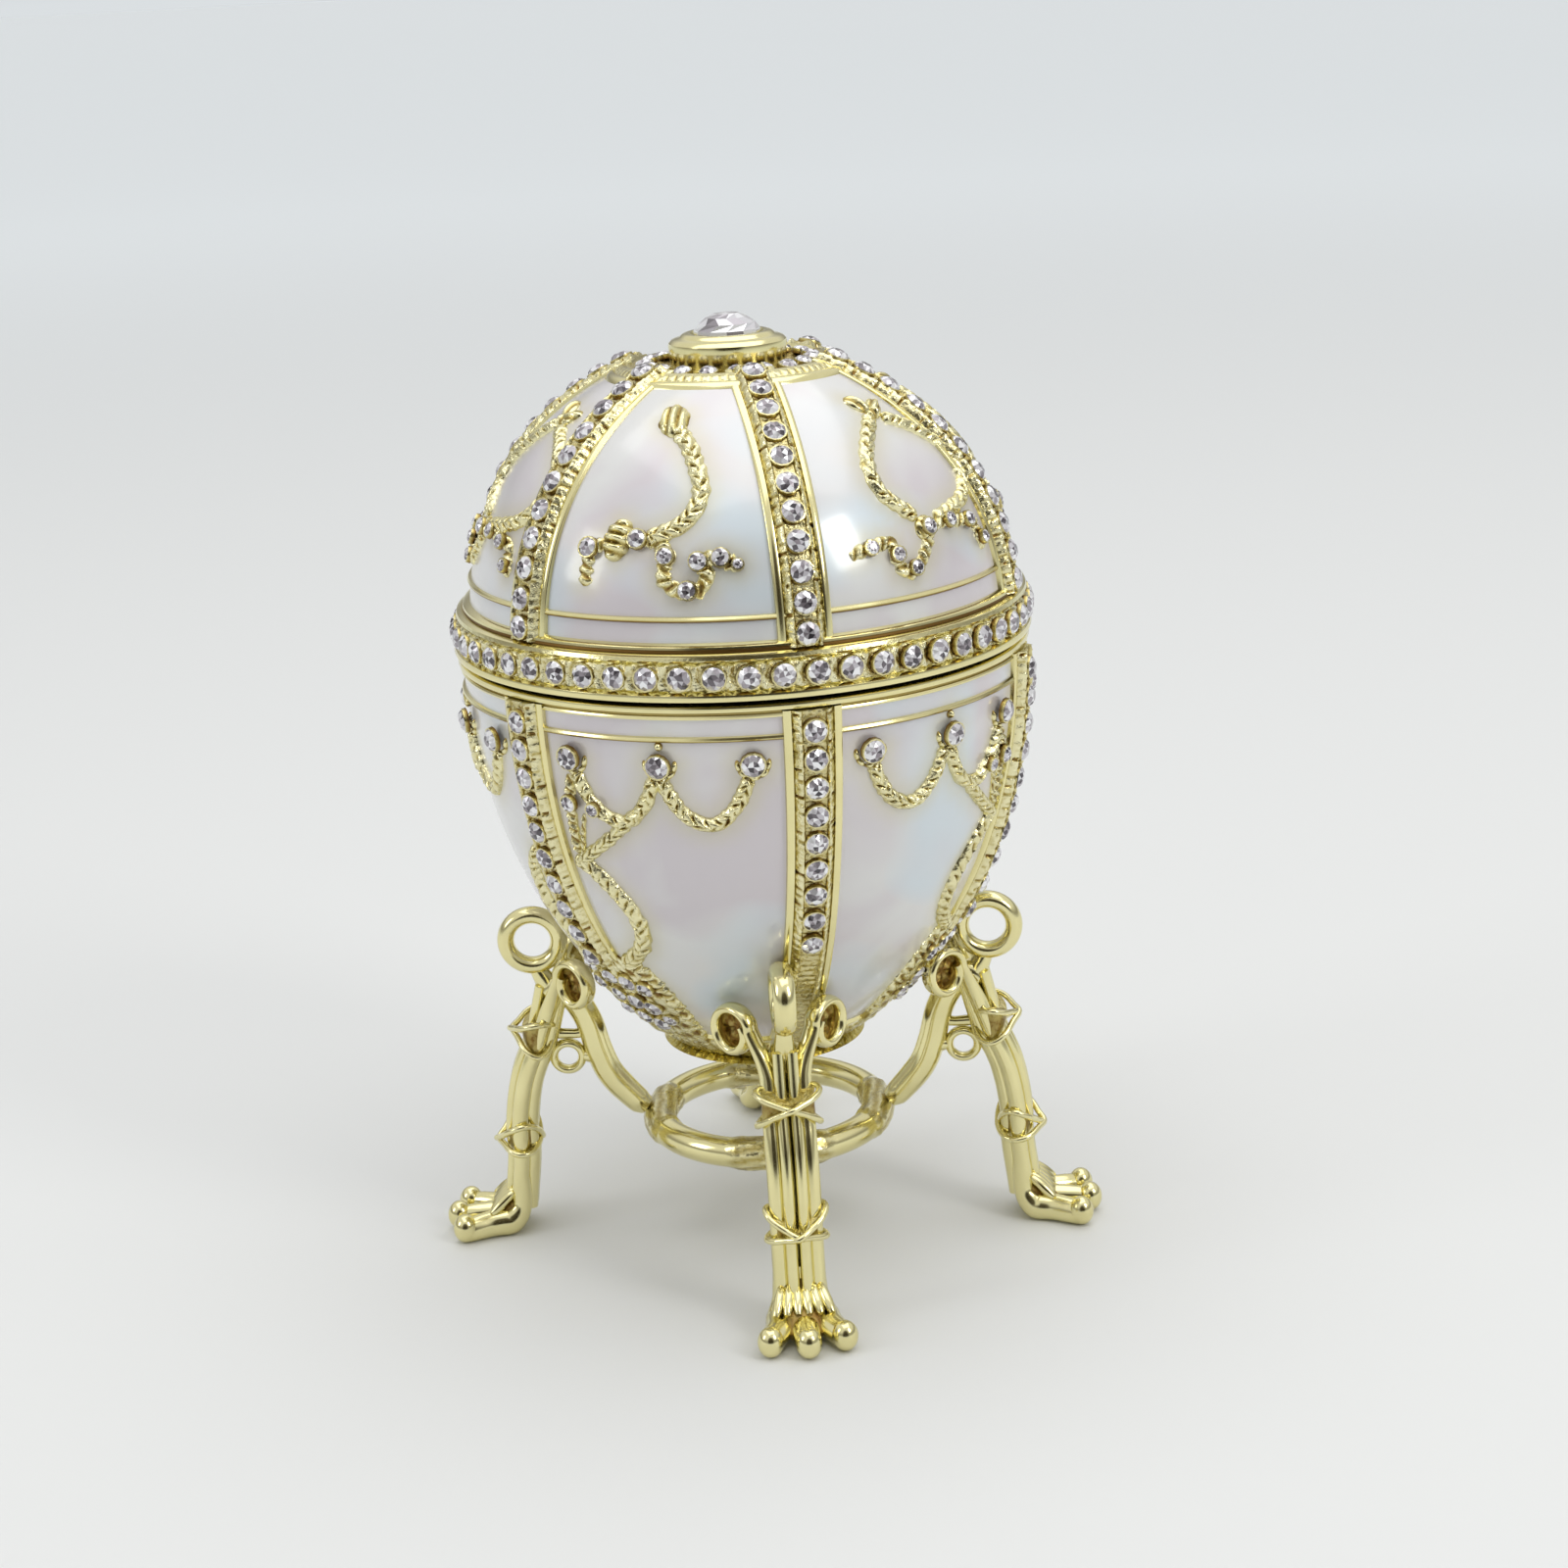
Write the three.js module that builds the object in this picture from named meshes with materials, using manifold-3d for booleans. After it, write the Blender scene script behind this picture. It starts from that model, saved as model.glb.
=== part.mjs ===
// Egg-shaped trinket box on a four-legged stand. Millimetres, +Z up, soles of the feet on Z = 0.
// The front of the box looks towards -Y. Azimuths are degrees from -Y, growing towards +X.
import * as THREE from 'three';
import Module from 'manifold-3d';

const wasm = await Module();
wasm.setup();

// Driving sizes
const seamHeight = 61.8; // floor to the parting line between lid and bowl
const bowlRadius = 27.4; // bowl at the parting line
const bowlDepth = 44.4; // parting line to the point where the bowl's curve would close
const lidRadius = 26.5; // lid at the parting line
const lidRise = 29.0; // parting line to the point where the lid's curve would close
const wall = 1.6; // thickness of both shells
const fitGap = 0.3; // gap between any two pieces that meet
const lipHeight = 2.0; // register lip of the bowl that stands up inside the lid
const lipThickness = 1.0;
const relief = 0.9; // how far ribs, ropes and collars rise above the enamel
const ribWidth = 5.0;
const ribAzimuth = 13.5; // rib nearest to the front
const ropeWidth = 2.2;
const girdleHeight = 5.2; // jewelled band at the foot of the lid
const bezelRadius = 5.5;
const bezelHeight = 2.0;
const crystalRadius = 3.2;
const crystalHeight = 1.8;
const ringRadius = 11.2; // centre line of the stand's ring
const ringHeight = 11.5; // floor to that centre line
const ringThickness = 3.0;
const footReach = 33.4; // axis of the box to the middle toe
const toeRadius = 1.1;
const toeSpread = 3.8; // middle toe to side toe
const legWidth = 4.8;
const legDepth = 3.2;
const loopRadius = 2.7; // centre line of the upright loop at the top of a leg
const loopThickness = 1.7; // in the plane of the loop
const loopWidth = 2.5; // across that plane
const voluteRadius = 1.6;
const voluteThickness = 1.6;
const eyeRadius = 1.4; // centre line of the small eye between leg and arm
const eyeThickness = 1.2;
const bindingHeight = 3.8; // ribbon bindings, measured at the back of the leg
const bindingThickness = 0.4;
const creaseWidth = 0.2; // height of the sharp step at the foot of each collar

// The legs are soldered on by hand, so they stand at slightly uneven angles.
const legAzimuths = { front: 5, right: 84, back: 180, left: -90 };

// Derived sizes
const ribCount = 6;
const innerSides = 20;
const ribStep = 360 / ribCount;
const lidTop = 0.938 * lidRise; // the lid is cut flat here to carry the bezel
const bowlFloor = 0.928 * bowlDepth; // the bowl is cut flat here
const girdleRadius = Math.max(lidRadius, bowlRadius) + fitGap;
const lidInner = lidRadius - wall;
const lipOuter = lidInner - fitGap;
const lipInner = lipOuter - lipThickness;
const collarStart = 0.895 * lidRise;
const cupStart = 0.856 * bowlDepth;

// Radius of the lid at a height above the parting line
function lidCurve(height) {
  const part = Math.min(Math.max(height / lidRise, 0), 1);
  return lidRadius * Math.pow(1 - Math.pow(part, 2.56), 0.632);
}

// Radius of the bowl at a depth below the parting line
function bowlCurve(depth) {
  const part = Math.min(Math.max(depth / bowlDepth, 0), 1);
  return bowlRadius * Math.pow(1 - Math.pow(part, 2.13), 0.661);
}

// A shell half: its curve, and which way it grows from the parting line
const lidHalf = { curve: lidCurve, way: 1 };
const bowlHalf = { curve: bowlCurve, way: -1 };

function radians(degrees) {
  return (degrees * Math.PI) / 180;
}

// Unit vectors of an azimuth: outwards from the axis, and sideways
function outward(azimuth) {
  return new THREE.Vector3(Math.sin(radians(azimuth)), -Math.cos(radians(azimuth)), 0);
}

function sideways(azimuth) {
  return new THREE.Vector3(Math.cos(radians(azimuth)), Math.sin(radians(azimuth)), 0);
}

// Point and outward normal of a shell half at an azimuth and a distance from the parting line
function onShell(half, azimuth, distance) {
  const delta = 0.05;
  const radius = half.curve(distance);
  const slope = (half.curve(distance + delta) - half.curve(distance - delta)) / (2 * delta);
  const point = outward(azimuth).multiplyScalar(radius);
  point.z = seamHeight + half.way * distance;
  const normal = outward(azimuth);
  normal.z = -slope * half.way;
  normal.normalize();
  return { point, normal };
}

// Closed solid from a grid of points: rows of equal length, each row a loop
function loft(rows, closed) {
  const perRow = rows[0].length;
  const positions = rows.flat().flatMap((p) => [p.x, p.y, p.z]);
  const indices = [];
  const spans = closed ? rows.length : rows.length - 1;
  for (let i = 0; i < spans; i += 1) {
    const here = i * perRow;
    const next = ((i + 1) % rows.length) * perRow;
    for (let j = 0; j < perRow; j += 1) {
      const k = (j + 1) % perRow;
      indices.push(here + j, here + k, next + k, here + j, next + k, next + j);
    }
  }
  if (!closed) {
    const last = (rows.length - 1) * perRow;
    for (let j = 1; j < perRow - 1; j += 1) {
      indices.push(0, j + 1, j);
      indices.push(last, last + j, last + j + 1);
    }
  }
  return solid(positions, indices);
}

// Manifold solid from positions and triangles, turned inside out when it comes out negative
function solid(positions, indices) {
  const build = (list) =>
    new wasm.Manifold(
      new wasm.Mesh({
        numProp: 3,
        vertProperties: new Float32Array(positions),
        triVerts: new Uint32Array(list),
      })
    );
  const first = build(indices);
  if (first.volume() > 0) return first;
  const turned = [];
  for (let i = 0; i < indices.length; i += 3) turned.push(indices[i], indices[i + 2], indices[i + 1]);
  return build(turned);
}

// Solid of revolution about Z from a closed outline of [radius, height] pairs.
// The outline may start and end on the axis.
function revolve(outline, sides) {
  const positions = [];
  const starts = [];
  outline.forEach(([radius, height]) => {
    starts.push(positions.length / 3);
    const count = radius < 1e-6 ? 1 : sides;
    for (let i = 0; i < count; i += 1) {
      const angle = (2 * Math.PI * i) / sides;
      positions.push(radius * Math.cos(angle), radius * Math.sin(angle), height);
    }
  });
  const indices = [];
  const onAxis = (i) => outline[i][0] < 1e-6;
  for (let i = 0; i < outline.length; i += 1) {
    const n = (i + 1) % outline.length;
    if (onAxis(i) && onAxis(n)) continue;
    for (let j = 0; j < sides; j += 1) {
      const k = (j + 1) % sides;
      const a = starts[i] + (onAxis(i) ? 0 : j);
      const b = starts[i] + (onAxis(i) ? 0 : k);
      const c = starts[n] + (onAxis(n) ? 0 : k);
      const d = starts[n] + (onAxis(n) ? 0 : j);
      if (!onAxis(i)) indices.push(a, b, c);
      if (!onAxis(n)) indices.push(a, c, d);
    }
  }
  return solid(positions, indices);
}

// Round bar along a list of points; radiusAt may change the radius along the bar
function bar(points, radius, sides, closed = false, radiusAt = () => 1) {
  const count = points.length;
  const rows = [];
  let side = null;
  for (let i = 0; i < count; i += 1) {
    const before = points[closed ? (i + count - 1) % count : Math.max(i - 1, 0)];
    const after = points[closed ? (i + 1) % count : Math.min(i + 1, count - 1)];
    const along = after.clone().sub(before).normalize();
    if (side === null) {
      const guide = Math.abs(along.z) < 0.9 ? new THREE.Vector3(0, 0, 1) : new THREE.Vector3(1, 0, 0);
      side = new THREE.Vector3().crossVectors(along, guide).normalize();
    }
    side = side.clone().addScaledVector(along, -side.dot(along)).normalize();
    const up = new THREE.Vector3().crossVectors(side, along);
    const r = radius * radiusAt(i / (count - 1));
    const row = [];
    for (let j = 0; j < sides; j += 1) {
      const angle = (2 * Math.PI * (j + 0.5)) / sides;
      row.push(
        points[i].clone().addScaledVector(side, r * Math.cos(angle)).addScaledVector(up, r * Math.sin(angle))
      );
    }
    rows.push(row);
  }
  return loft(rows, closed);
}

// Evenly spaced points on a smooth curve through the given points
function smooth(points, count, closed = false) {
  const curve = new THREE.CatmullRomCurve3(points, closed, 'centripetal');
  return curve.getSpacedPoints(closed ? count : count - 1).slice(0, count);
}

// Raised moulding laid on a shell half. The stations hold [azimuth, distance from the parting line].
// The section is a list of [across, above the enamel].
function moulding(half, stations, section, closed = false) {
  const count = stations.length;
  const seats = stations.map(([azimuth, distance]) => onShell(half, azimuth, distance));
  const rows = seats.map((seat, i) => {
    const before = seats[closed ? (i + count - 1) % count : Math.max(i - 1, 0)].point;
    const after = seats[closed ? (i + 1) % count : Math.min(i + 1, count - 1)].point;
    const along = after.clone().sub(before).normalize();
    const across = new THREE.Vector3().crossVectors(along, seat.normal).normalize();
    return section.map(([x, y]) => seat.point.clone().addScaledVector(across, x).addScaledVector(seat.normal, y));
  });
  return loft(rows, closed);
}

// Stations of a smooth line through [azimuth, distance] pairs
function traced(pairs, count, closed = false) {
  return smooth(pairs.map(([a, d]) => new THREE.Vector3(a, d, 0)), count, closed).map((p) => [p.x, p.y]);
}

const ropeRoot = -0.4 * wall;
const ropeSection = [
  [-ropeWidth / 2, ropeRoot],
  [ropeWidth / 2, ropeRoot],
  [0, 1.15 * relief],
];

// Mount of one loose stone: a short four-sided point standing on a shell half
function stoneMount(half, azimuth, distance, size) {
  const { point, normal } = onShell(half, azimuth, distance);
  const side = sideways(azimuth);
  const up = new THREE.Vector3().crossVectors(side, normal);
  const row = (r, lift) =>
    [0, 90, 180, 270].map((turn) =>
      point
        .clone()
        .addScaledVector(side, r * Math.cos(radians(turn)))
        .addScaledVector(up, r * Math.sin(radians(turn)))
        .addScaledVector(normal, lift)
    );
  return loft([row(size, ropeRoot), row(0.5 * size, 1.3 * relief)], false);
}

function joined(parts) {
  return parts.reduce((sum, part) => sum.add(part));
}

// Outer body of a shell half as rows from its foot to its pole. Each row is
// [distance from the parting line, radius or null for the curve, lift of the ribs, lift of the panels].
// Every sector holds one rib with sloping sides and a raised middle, then one panel.
function shellBody(half, rows) {
  const panelSpans = 4;
  const loops = rows.map(([distance, radius, ribLift, panelLift]) => {
    const loop = [];
    const seatRadius = radius === null ? half.curve(distance) : radius;
    const across = [-0.5, -0.4, 0.4, 0.5].map((part) => THREE.MathUtils.radToDeg((part * ribWidth) / seatRadius));
    for (let i = 0; i < ribCount; i += 1) {
      const rib = ribAzimuth + ribStep * i;
      const columns = across.map((a, j) => [rib + a, j === 1 || j === 2 ? ribLift : panelLift]);
      const panel = ribStep - 2 * across[3];
      for (let j = 1; j < panelSpans; j += 1) {
        columns.push([rib + across[3] + (panel * j) / panelSpans, panelLift]);
      }
      columns.forEach(([azimuth, lift]) => {
        const seat = onShell(half, azimuth, distance);
        if (radius !== null) {
          seat.point.copy(outward(azimuth).multiplyScalar(radius));
          seat.point.z = seamHeight + half.way * distance;
        }
        loop.push(seat.point.addScaledVector(seat.normal, lift));
      });
    }
    return loop;
  });
  return loft(loops, false);
}

// Lid: hollow shell, jewelled girdle, collar round the bezel, six ribs, wreaths and ribbons
function buildLid() {
  const band = girdleHeight;
  const proud = girdleRadius + 0.8 * relief;
  const rows = [
    [fitGap / 2, girdleRadius, 0, 0],
    [0.22 * band, girdleRadius, 0, 0],
    [0.32 * band, proud, 0, 0],
    [0.6 * band, proud, 0, 0],
    [0.92 * band, girdleRadius, 0, 0],
    [band, null, relief, 0],
  ];
  [0.36, 0.54, 0.69, 0.81].forEach((part) => rows.push([part * lidRise, null, relief, 0]));
  rows.push([collarStart, null, relief, 0]);
  rows.push([collarStart + creaseWidth, null, relief, 0.6 * relief]);
  rows.push([lidTop, lidCurve(lidTop) + relief, 0, 0]);
  const parts = [shellBody(lidHalf, rows)];
  for (let i = 0; i < ribCount; i += 1) {
    const middle = ribAzimuth + ribStep * (i + 0.5);
    parts.push(...lidPanel(middle, i === ribCount - 1));
  }
  const innerTop = lidTop - wall;
  const flats = 1 / Math.cos(Math.PI / innerSides);
  const inside = (height) => flats * (lidInner / lidRadius) * lidCurve((height * lidTop) / innerTop);
  const hollow = [[0, seamHeight - wall], [flats * lidInner, seamHeight - wall]];
  [0, 0.4, 0.7, 0.9, 1].forEach((part) => {
    hollow.push([inside(part * innerTop), seamHeight + part * innerTop]);
  });
  hollow.push([0, seamHeight + innerTop]);
  return joined(parts).subtract(revolve(hollow, innerSides));
}

// Ornament of one lid panel: rope wreath with a bow on top, knot below, and a wavy ribbon with stones.
// On the open panel only one half of the wreath is there and the knot sits to the left.
function lidPanel(middle, open) {
  const at = (pairs) => pairs.map(([a, part]) => [middle + a, part * lidRise]);
  const rope = (pairs, count, closed = false) =>
    moulding(lidHalf, traced(at(pairs), count, closed), ropeSection, closed);
  const parts = [];
  if (open) {
    parts.push(rope([[-1.5, 0.82], [5, 0.75], [10, 0.63], [7, 0.54], [0, 0.5], [-8, 0.48]], 8));
    parts.push(rope([[-8, 0.48], [-15, 0.46], [-15, 0.36]], 4));
  } else {
    parts.push(rope([[0, 0.79], [11, 0.69], [12, 0.57], [0, 0.48], [-12, 0.57], [-11, 0.69]], 9, true));
    parts.push(rope([[-1, 0.47], [-7.5, 0.34], [-9, 0.42], [-19, 0.4]], 4));
  }
  parts.push(rope([[open ? -2 : 1, 0.48], [7.5, 0.34], [9, 0.42], [19, 0.4]], 4));
  parts.push(stoneMount(lidHalf, middle + (open ? -8 : 0), 0.48 * lidRise, 0.9 * ropeWidth));
  return parts;
}

// Bowl: hollow shell with a register lip, flat cup at the bottom, ribs, swags and rope wreaths
function buildBowl() {
  const rim = fitGap / 2;
  const rows = [
    [-lipHeight, lipOuter, 0, 0],
    [rim, lipOuter, 0, 0],
    [rim, girdleRadius, 0, 0],
    [rim + 0.8 * relief, girdleRadius, 0, 0],
    [rim + 1.2 * relief, null, relief, 0],
  ];
  [0.18, 0.34, 0.48, 0.6, 0.7, 0.79].forEach((part) => rows.push([part * bowlDepth, null, relief, 0]));
  rows.push([cupStart, null, relief, 0]);
  rows.push([cupStart + creaseWidth, null, relief, 0.5 * relief]);
  rows.push([bowlFloor, bowlCurve(bowlFloor), 0, 0]);
  const parts = [shellBody(bowlHalf, rows)];
  for (let i = 0; i < ribCount; i += 1) parts.push(...bowlPanel(ribAzimuth + ribStep * (i + 0.5)));
  parts.push(...ribWreath(ribAzimuth - ribStep, -10, 24));
  parts.push(...ribWreath(ribAzimuth + ribStep, -24, 10));
  parts.push(...ribWreath(ribAzimuth + 3 * ribStep, -20, 20));
  const innerFloor = bowlFloor - wall;
  const inside = (depth) => Math.min(lipInner, bowlCurve(depth) - wall);
  const hollow = [[0, seamHeight - innerFloor]];
  [1, 0.9, 0.75, 0.56, 0.36].forEach((part) => {
    hollow.push([inside(part * innerFloor), seamHeight - part * innerFloor]);
  });
  hollow.push([lipInner, seamHeight + lipHeight + wall], [0, seamHeight + lipHeight + wall]);
  const seat = legLoop(legAzimuths.front, 1.3 * fitGap);
  return joined(parts).subtract(revolve(hollow, innerSides)).subtract(seat);
}

// Two rope swags that hang from a stone in the middle of one bowl panel
function bowlPanel(middle) {
  const parts = [];
  const reach = 18.5;
  [-1, 1].forEach((way) => {
    const dip = [[0, 0.14], [0.2, 0.22], [0.5, 0.265], [0.8, 0.22], [1, 0.14]];
    const line = dip.map(([a, part]) => [middle + way * reach * a, part * bowlDepth]);
    parts.push(moulding(bowlHalf, line, ropeSection));
  });
  parts.push(stoneMount(bowlHalf, middle, 0.128 * bowlDepth, 0.9 * ropeWidth));
  return parts;
}

// Oval rope wreath round a rib, with strands that rise from it to the swags
function ribWreath(rib, left, right) {
  const at = (pairs) => pairs.map(([a, part]) => [rib + a, part * bowlDepth]);
  const parts = [];
  [left, right].forEach((reach) => {
    const side = Math.sign(reach);
    const line = [
      [side * 20, 0.255],
      [side * 8, 0.345],
      [0.8 * reach, 0.41],
      [reach, 0.48],
      [0.8 * reach, 0.56],
      [side * 5, 0.64],
    ];
    parts.push(moulding(bowlHalf, traced(at(line), 9), ropeSection));
  });
  return parts;
}

const bezelFoot = seamHeight + lidTop + fitGap;
const seatDepth = 0.5;
const soleCut = 0.2; // the feet are cut flat this far above the lowest point of the toes

// Bezel: turned drum with a stepped shoulder and a seat for the crystal
function buildBezel() {
  const top = bezelFoot + bezelHeight;
  const seat = crystalRadius + fitGap;
  const outline = [
    [0, bezelFoot],
    [0.94 * bezelRadius, bezelFoot],
    [bezelRadius, bezelFoot + 0.1 * bezelHeight],
    [bezelRadius, bezelFoot + 0.55 * bezelHeight],
    [0.92 * bezelRadius, bezelFoot + 0.72 * bezelHeight],
    [0.78 * bezelRadius, bezelFoot + 0.8 * bezelHeight],
    [0.73 * bezelRadius, top],
    [seat, top],
    [seat, top - seatDepth],
    [0, top - seatDepth],
  ];
  return revolve(outline, 18);
}

// Crystal: eight-sided cut dome
function buildCrystal() {
  const foot = bezelFoot + bezelHeight - seatDepth + fitGap;
  const full = crystalHeight + seatDepth - fitGap;
  const outline = [
    [0, foot],
    [0.94 * crystalRadius, foot],
    [crystalRadius, foot + 0.2 * full],
    [0.86 * crystalRadius, foot + 0.55 * full],
    [0.5 * crystalRadius, foot + 0.9 * full],
    [0, foot + full],
  ];
  return revolve(outline, 8);
}

// Ring of the stand
function buildRing() {
  const points = [];
  const count = 28;
  for (let i = 0; i < count; i += 1) {
    const point = outward((360 * i) / count).multiplyScalar(ringRadius);
    point.z = ringHeight;
    points.push(point);
  }
  return bar(points, ringThickness / 2, 7, true);
}

// How far from the axis a round of this radius must be centred to clear the bowl.
// The share is how much of the radius points at the axis, and proud is relief that it has to pass.
function standOff(height, radius, share, proud) {
  let least = 0;
  for (let turn = -90; turn <= 90; turn += 15) {
    const level = height + radius * Math.sin(radians(turn));
    const skin = bowlCurve(seamHeight - level) + proud + fitGap;
    least = Math.max(least, skin + share * radius * Math.cos(radians(turn)));
  }
  return least;
}

const loopHeight = 0.505 * seamHeight;
const loopAt = standOff(loopHeight, loopRadius + loopThickness / 2, 1, 0);

// Upright loop at the top of a leg. With room to spare, it cuts the loop's seat into a rib.
function legLoop(azimuth, spare) {
  const rows = [];
  for (let k = 0; k < 9; k += 1) {
    const turn = radians(40 * k);
    const row = [];
    for (let j = 0; j < 6; j += 1) {
      const angle = radians(60 * j + 30);
      const reach = loopRadius + (loopThickness / 2 + spare) * Math.cos(angle);
      const point = outward(azimuth)
        .multiplyScalar(loopAt + reach * Math.cos(turn))
        .addScaledVector(sideways(azimuth), (loopWidth / 2 + spare) * Math.sin(angle));
      point.z = loopHeight + reach * Math.sin(turn);
      row.push(point);
    }
    rows.push(row);
  }
  return loft(rows, true);
}

// One leg. Its own plane is spanned by the outward direction of its azimuth and Z.
function buildLeg(azimuth) {
  const out = outward(azimuth);
  const side = sideways(azimuth);
  const place = (radius, across, height) => {
    const point = out.clone().multiplyScalar(radius).addScaledVector(side, across);
    point.z = height;
    return point;
  };
  const parts = [];

  // Scrolls stand off the ribs of the bowl, and the loop off its enamel.
  const voluteAcross = legWidth;
  const voluteHeight = 0.44 * seamHeight;
  const voluteAway = standOff(voluteHeight, voluteRadius + voluteThickness / 2, Math.SQRT1_2, relief);
  const voluteAt = Math.sqrt(voluteAway * voluteAway - voluteAcross * voluteAcross);

  // Centre line of the leg, from the ankle to the scrolls
  const ankle = 0.78 * footReach;
  const legLine = [
    [ankle + 1.1 * toeRadius, 1.3 * toeRadius],
    [ankle, 0.07 * seamHeight],
    [ankle - 0.1 * legWidth, 0.2 * seamHeight],
    [0.69 * footReach, 0.33 * seamHeight],
    [0.3 * 0.69 * footReach + 0.7 * loopAt, voluteHeight - voluteRadius],
    [loopAt - 0.07 * loopRadius, loopHeight - loopRadius],
  ];

  // Bundle of rods: one bar with a lobed section, three rods in front and two behind
  const w = 0.5 * legWidth;
  const d = 0.5 * legDepth;
  const lobes = [
    [-w, 0],
    [-0.55 * w, 0.95 * d],
    [0, 0.65 * d],
    [0.55 * w, 0.95 * d],
    [w, 0],
    [0.55 * w, -0.95 * d],
    [-0.55 * w, -0.95 * d],
  ];
  const rows = legLine.map(([r, z], i) => {
    const before = legLine[Math.max(i - 1, 0)];
    const after = legLine[Math.min(i + 1, legLine.length - 1)];
    const length = Math.hypot(after[0] - before[0], after[1] - before[1]);
    const tilt = [(after[1] - before[1]) / length, -(after[0] - before[0]) / length];
    return lobes.map(([x, y]) => place(r + y * tilt[0], x, z + y * tilt[1]));
  });
  parts.push(loft(rows, false));

  // Two outer rods end in scrolls whose open faces look outwards and sideways.
  const [topRadius, topHeight] = legLine[legLine.length - 2];
  [-1, 1].forEach((way) => {
    const points = [place(topRadius + 0.1 * legDepth, 0.45 * way * w, topHeight - 0.07 * seamHeight)];
    const axis = out.clone().addScaledVector(side, way).normalize();
    const across = new THREE.Vector3().crossVectors(new THREE.Vector3(0, 0, 1), axis).multiplyScalar(way);
    const eye = place(voluteAt, way * voluteAcross, voluteHeight);
    for (let k = 0; k < 6; k += 1) {
      const turn = radians(170 - 60 * k);
      points.push(
        eye
          .clone()
          .addScaledVector(across, voluteRadius * Math.cos(turn))
          .addScaledVector(new THREE.Vector3(0, 0, 1), voluteRadius * Math.sin(turn))
      );
    }
    parts.push(bar(points, voluteThickness / 2, 5));
  });

  parts.push(legLoop(azimuth, 0));

  // Arm that starts inside the loop's foot and the top of the bundle and curves down and in to the ring
  // It meets the ring square on, from outside and above, with the gap of a soldered joint.
  const armThickness = 0.92 * ringThickness;
  const meetAt = (away) => {
    const reach = ringThickness / 2 + fitGap + away;
    return [ringRadius + reach * Math.cos(radians(40)), ringHeight + reach * Math.sin(radians(40))];
  };
  const straight = 0.5 * ringThickness; // last stretch, before the joint
  const armLine = [
    place(topRadius, 0, topHeight - 0.5 * legDepth),
    place(0.5 * (loopAt + voluteAt), 0, loopHeight - loopRadius - 0.5 * loopThickness),
    place(voluteAt - 0.25 * legWidth, 0, voluteHeight - legWidth),
    place(voluteAt - 0.5 * legWidth, 0, 0.5 * (voluteHeight + ringHeight) - 0.2 * legWidth),
    place(meetAt(straight)[0], 0, meetAt(straight)[1]),
    place(meetAt(0)[0], 0, meetAt(0)[1]),
  ];
  parts.push(bar(armLine, armThickness / 2, 5));

  // Small eye between leg and arm
  const eyeHeight = 0.302 * seamHeight;
  const eyeFrom = voluteAt - eyeThickness / 3;
  const eyeTo = 0.67 * footReach;
  const eyelet = [];
  for (let k = 0; k < 6; k += 1) {
    const turn = radians(60 * k);
    const r = 0.5 * (eyeFrom + eyeTo) + 0.5 * (eyeTo - eyeFrom) * Math.cos(turn);
    eyelet.push(place(r, 0, eyeHeight + eyeRadius * Math.sin(turn)));
  }
  parts.push(bar(eyelet, eyeThickness / 2, 3, true));

  // Ribbon bindings: pointed in front, and wider towards the arm
  [0.355, 0.17].forEach((part, i) => {
    const centre = i === 0 ? 0.7 * footReach : ankle - bindingThickness;
    const height = part * seamHeight;
    const half = w + bindingThickness;
    const deep = d + bindingThickness;
    const rise = 0.5 * bindingHeight;
    const loopAtLift = (way) => [
      place(centre + 1.7 * deep, 0, height + 0.2 * rise * way),
      place(centre + 0.3 * deep, half, height + 0.8 * rise * way),
      place(centre - deep, 0.6 * half, height + rise * way),
      place(centre - deep, -0.6 * half, height + rise * way),
      place(centre + 0.3 * deep, -half, height + 0.8 * rise * way),
    ];
    parts.push(loft([loopAtLift(-1), loopAtLift(1)], false));
  });

  // Foot: heel and three toes that end in balls with flat soles
  [-1, 0, 1].forEach((way) => {
    const far = footReach - Math.abs(way) * 1.1 * toeRadius;
    const toe = [
      place(ankle + 1.1 * toeRadius, way * 0.5 * w, 1.4 * toeRadius),
      place(far - 1.6 * toeRadius, way * 0.9 * toeSpread, toeRadius),
      place(far - 0.4 * toeRadius, way * toeSpread, toeRadius),
      place(far + toeRadius, way * toeSpread, toeRadius),
    ];
    const swell = [1.2, 0.85, 1.2, 0.75];
    parts.push(bar(toe, toeRadius, 5, false, (t) => swell[Math.round(t * 3)]));
  });
  return joined(parts).trimByPlane([0, 0, 1], soleCut).translate([0, 0, -soleCut]);
}

const gold = { color: '#d9cd8c', roughness: 0.22, metalness: 1 };
const enamel = { color: '#e6dfe4', roughness: 0.18, metalness: 0.1 };
const crystal = { color: '#eef2f5', roughness: 0.05, metalness: 0 };

function node(body, name, look) {
  const mesh = body.getMesh();
  const geometry = new THREE.BufferGeometry();
  geometry.setAttribute('position', new THREE.BufferAttribute(new Float32Array(mesh.vertProperties), 3));
  geometry.setIndex(new THREE.BufferAttribute(new Uint32Array(mesh.triVerts), 1));
  geometry.computeVertexNormals();
  const made = new THREE.Mesh(geometry, new THREE.MeshStandardMaterial(look));
  made.name = name;
  return made;
}

const group = new THREE.Group();
group.name = 'egg_trinket_box';
group.add(node(buildBowl(), 'egg_bowl', enamel));
group.add(node(buildLid(), 'egg_lid', enamel));
group.add(node(buildBezel(), 'top_bezel', gold));
group.add(node(buildCrystal(), 'top_crystal', crystal));
group.add(node(buildRing(), 'stand_ring', gold));
Object.entries(legAzimuths).forEach(([side, azimuth]) => {
  group.add(node(buildLeg(azimuth), `leg_${side}`, gold));
});

export default group;
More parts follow.
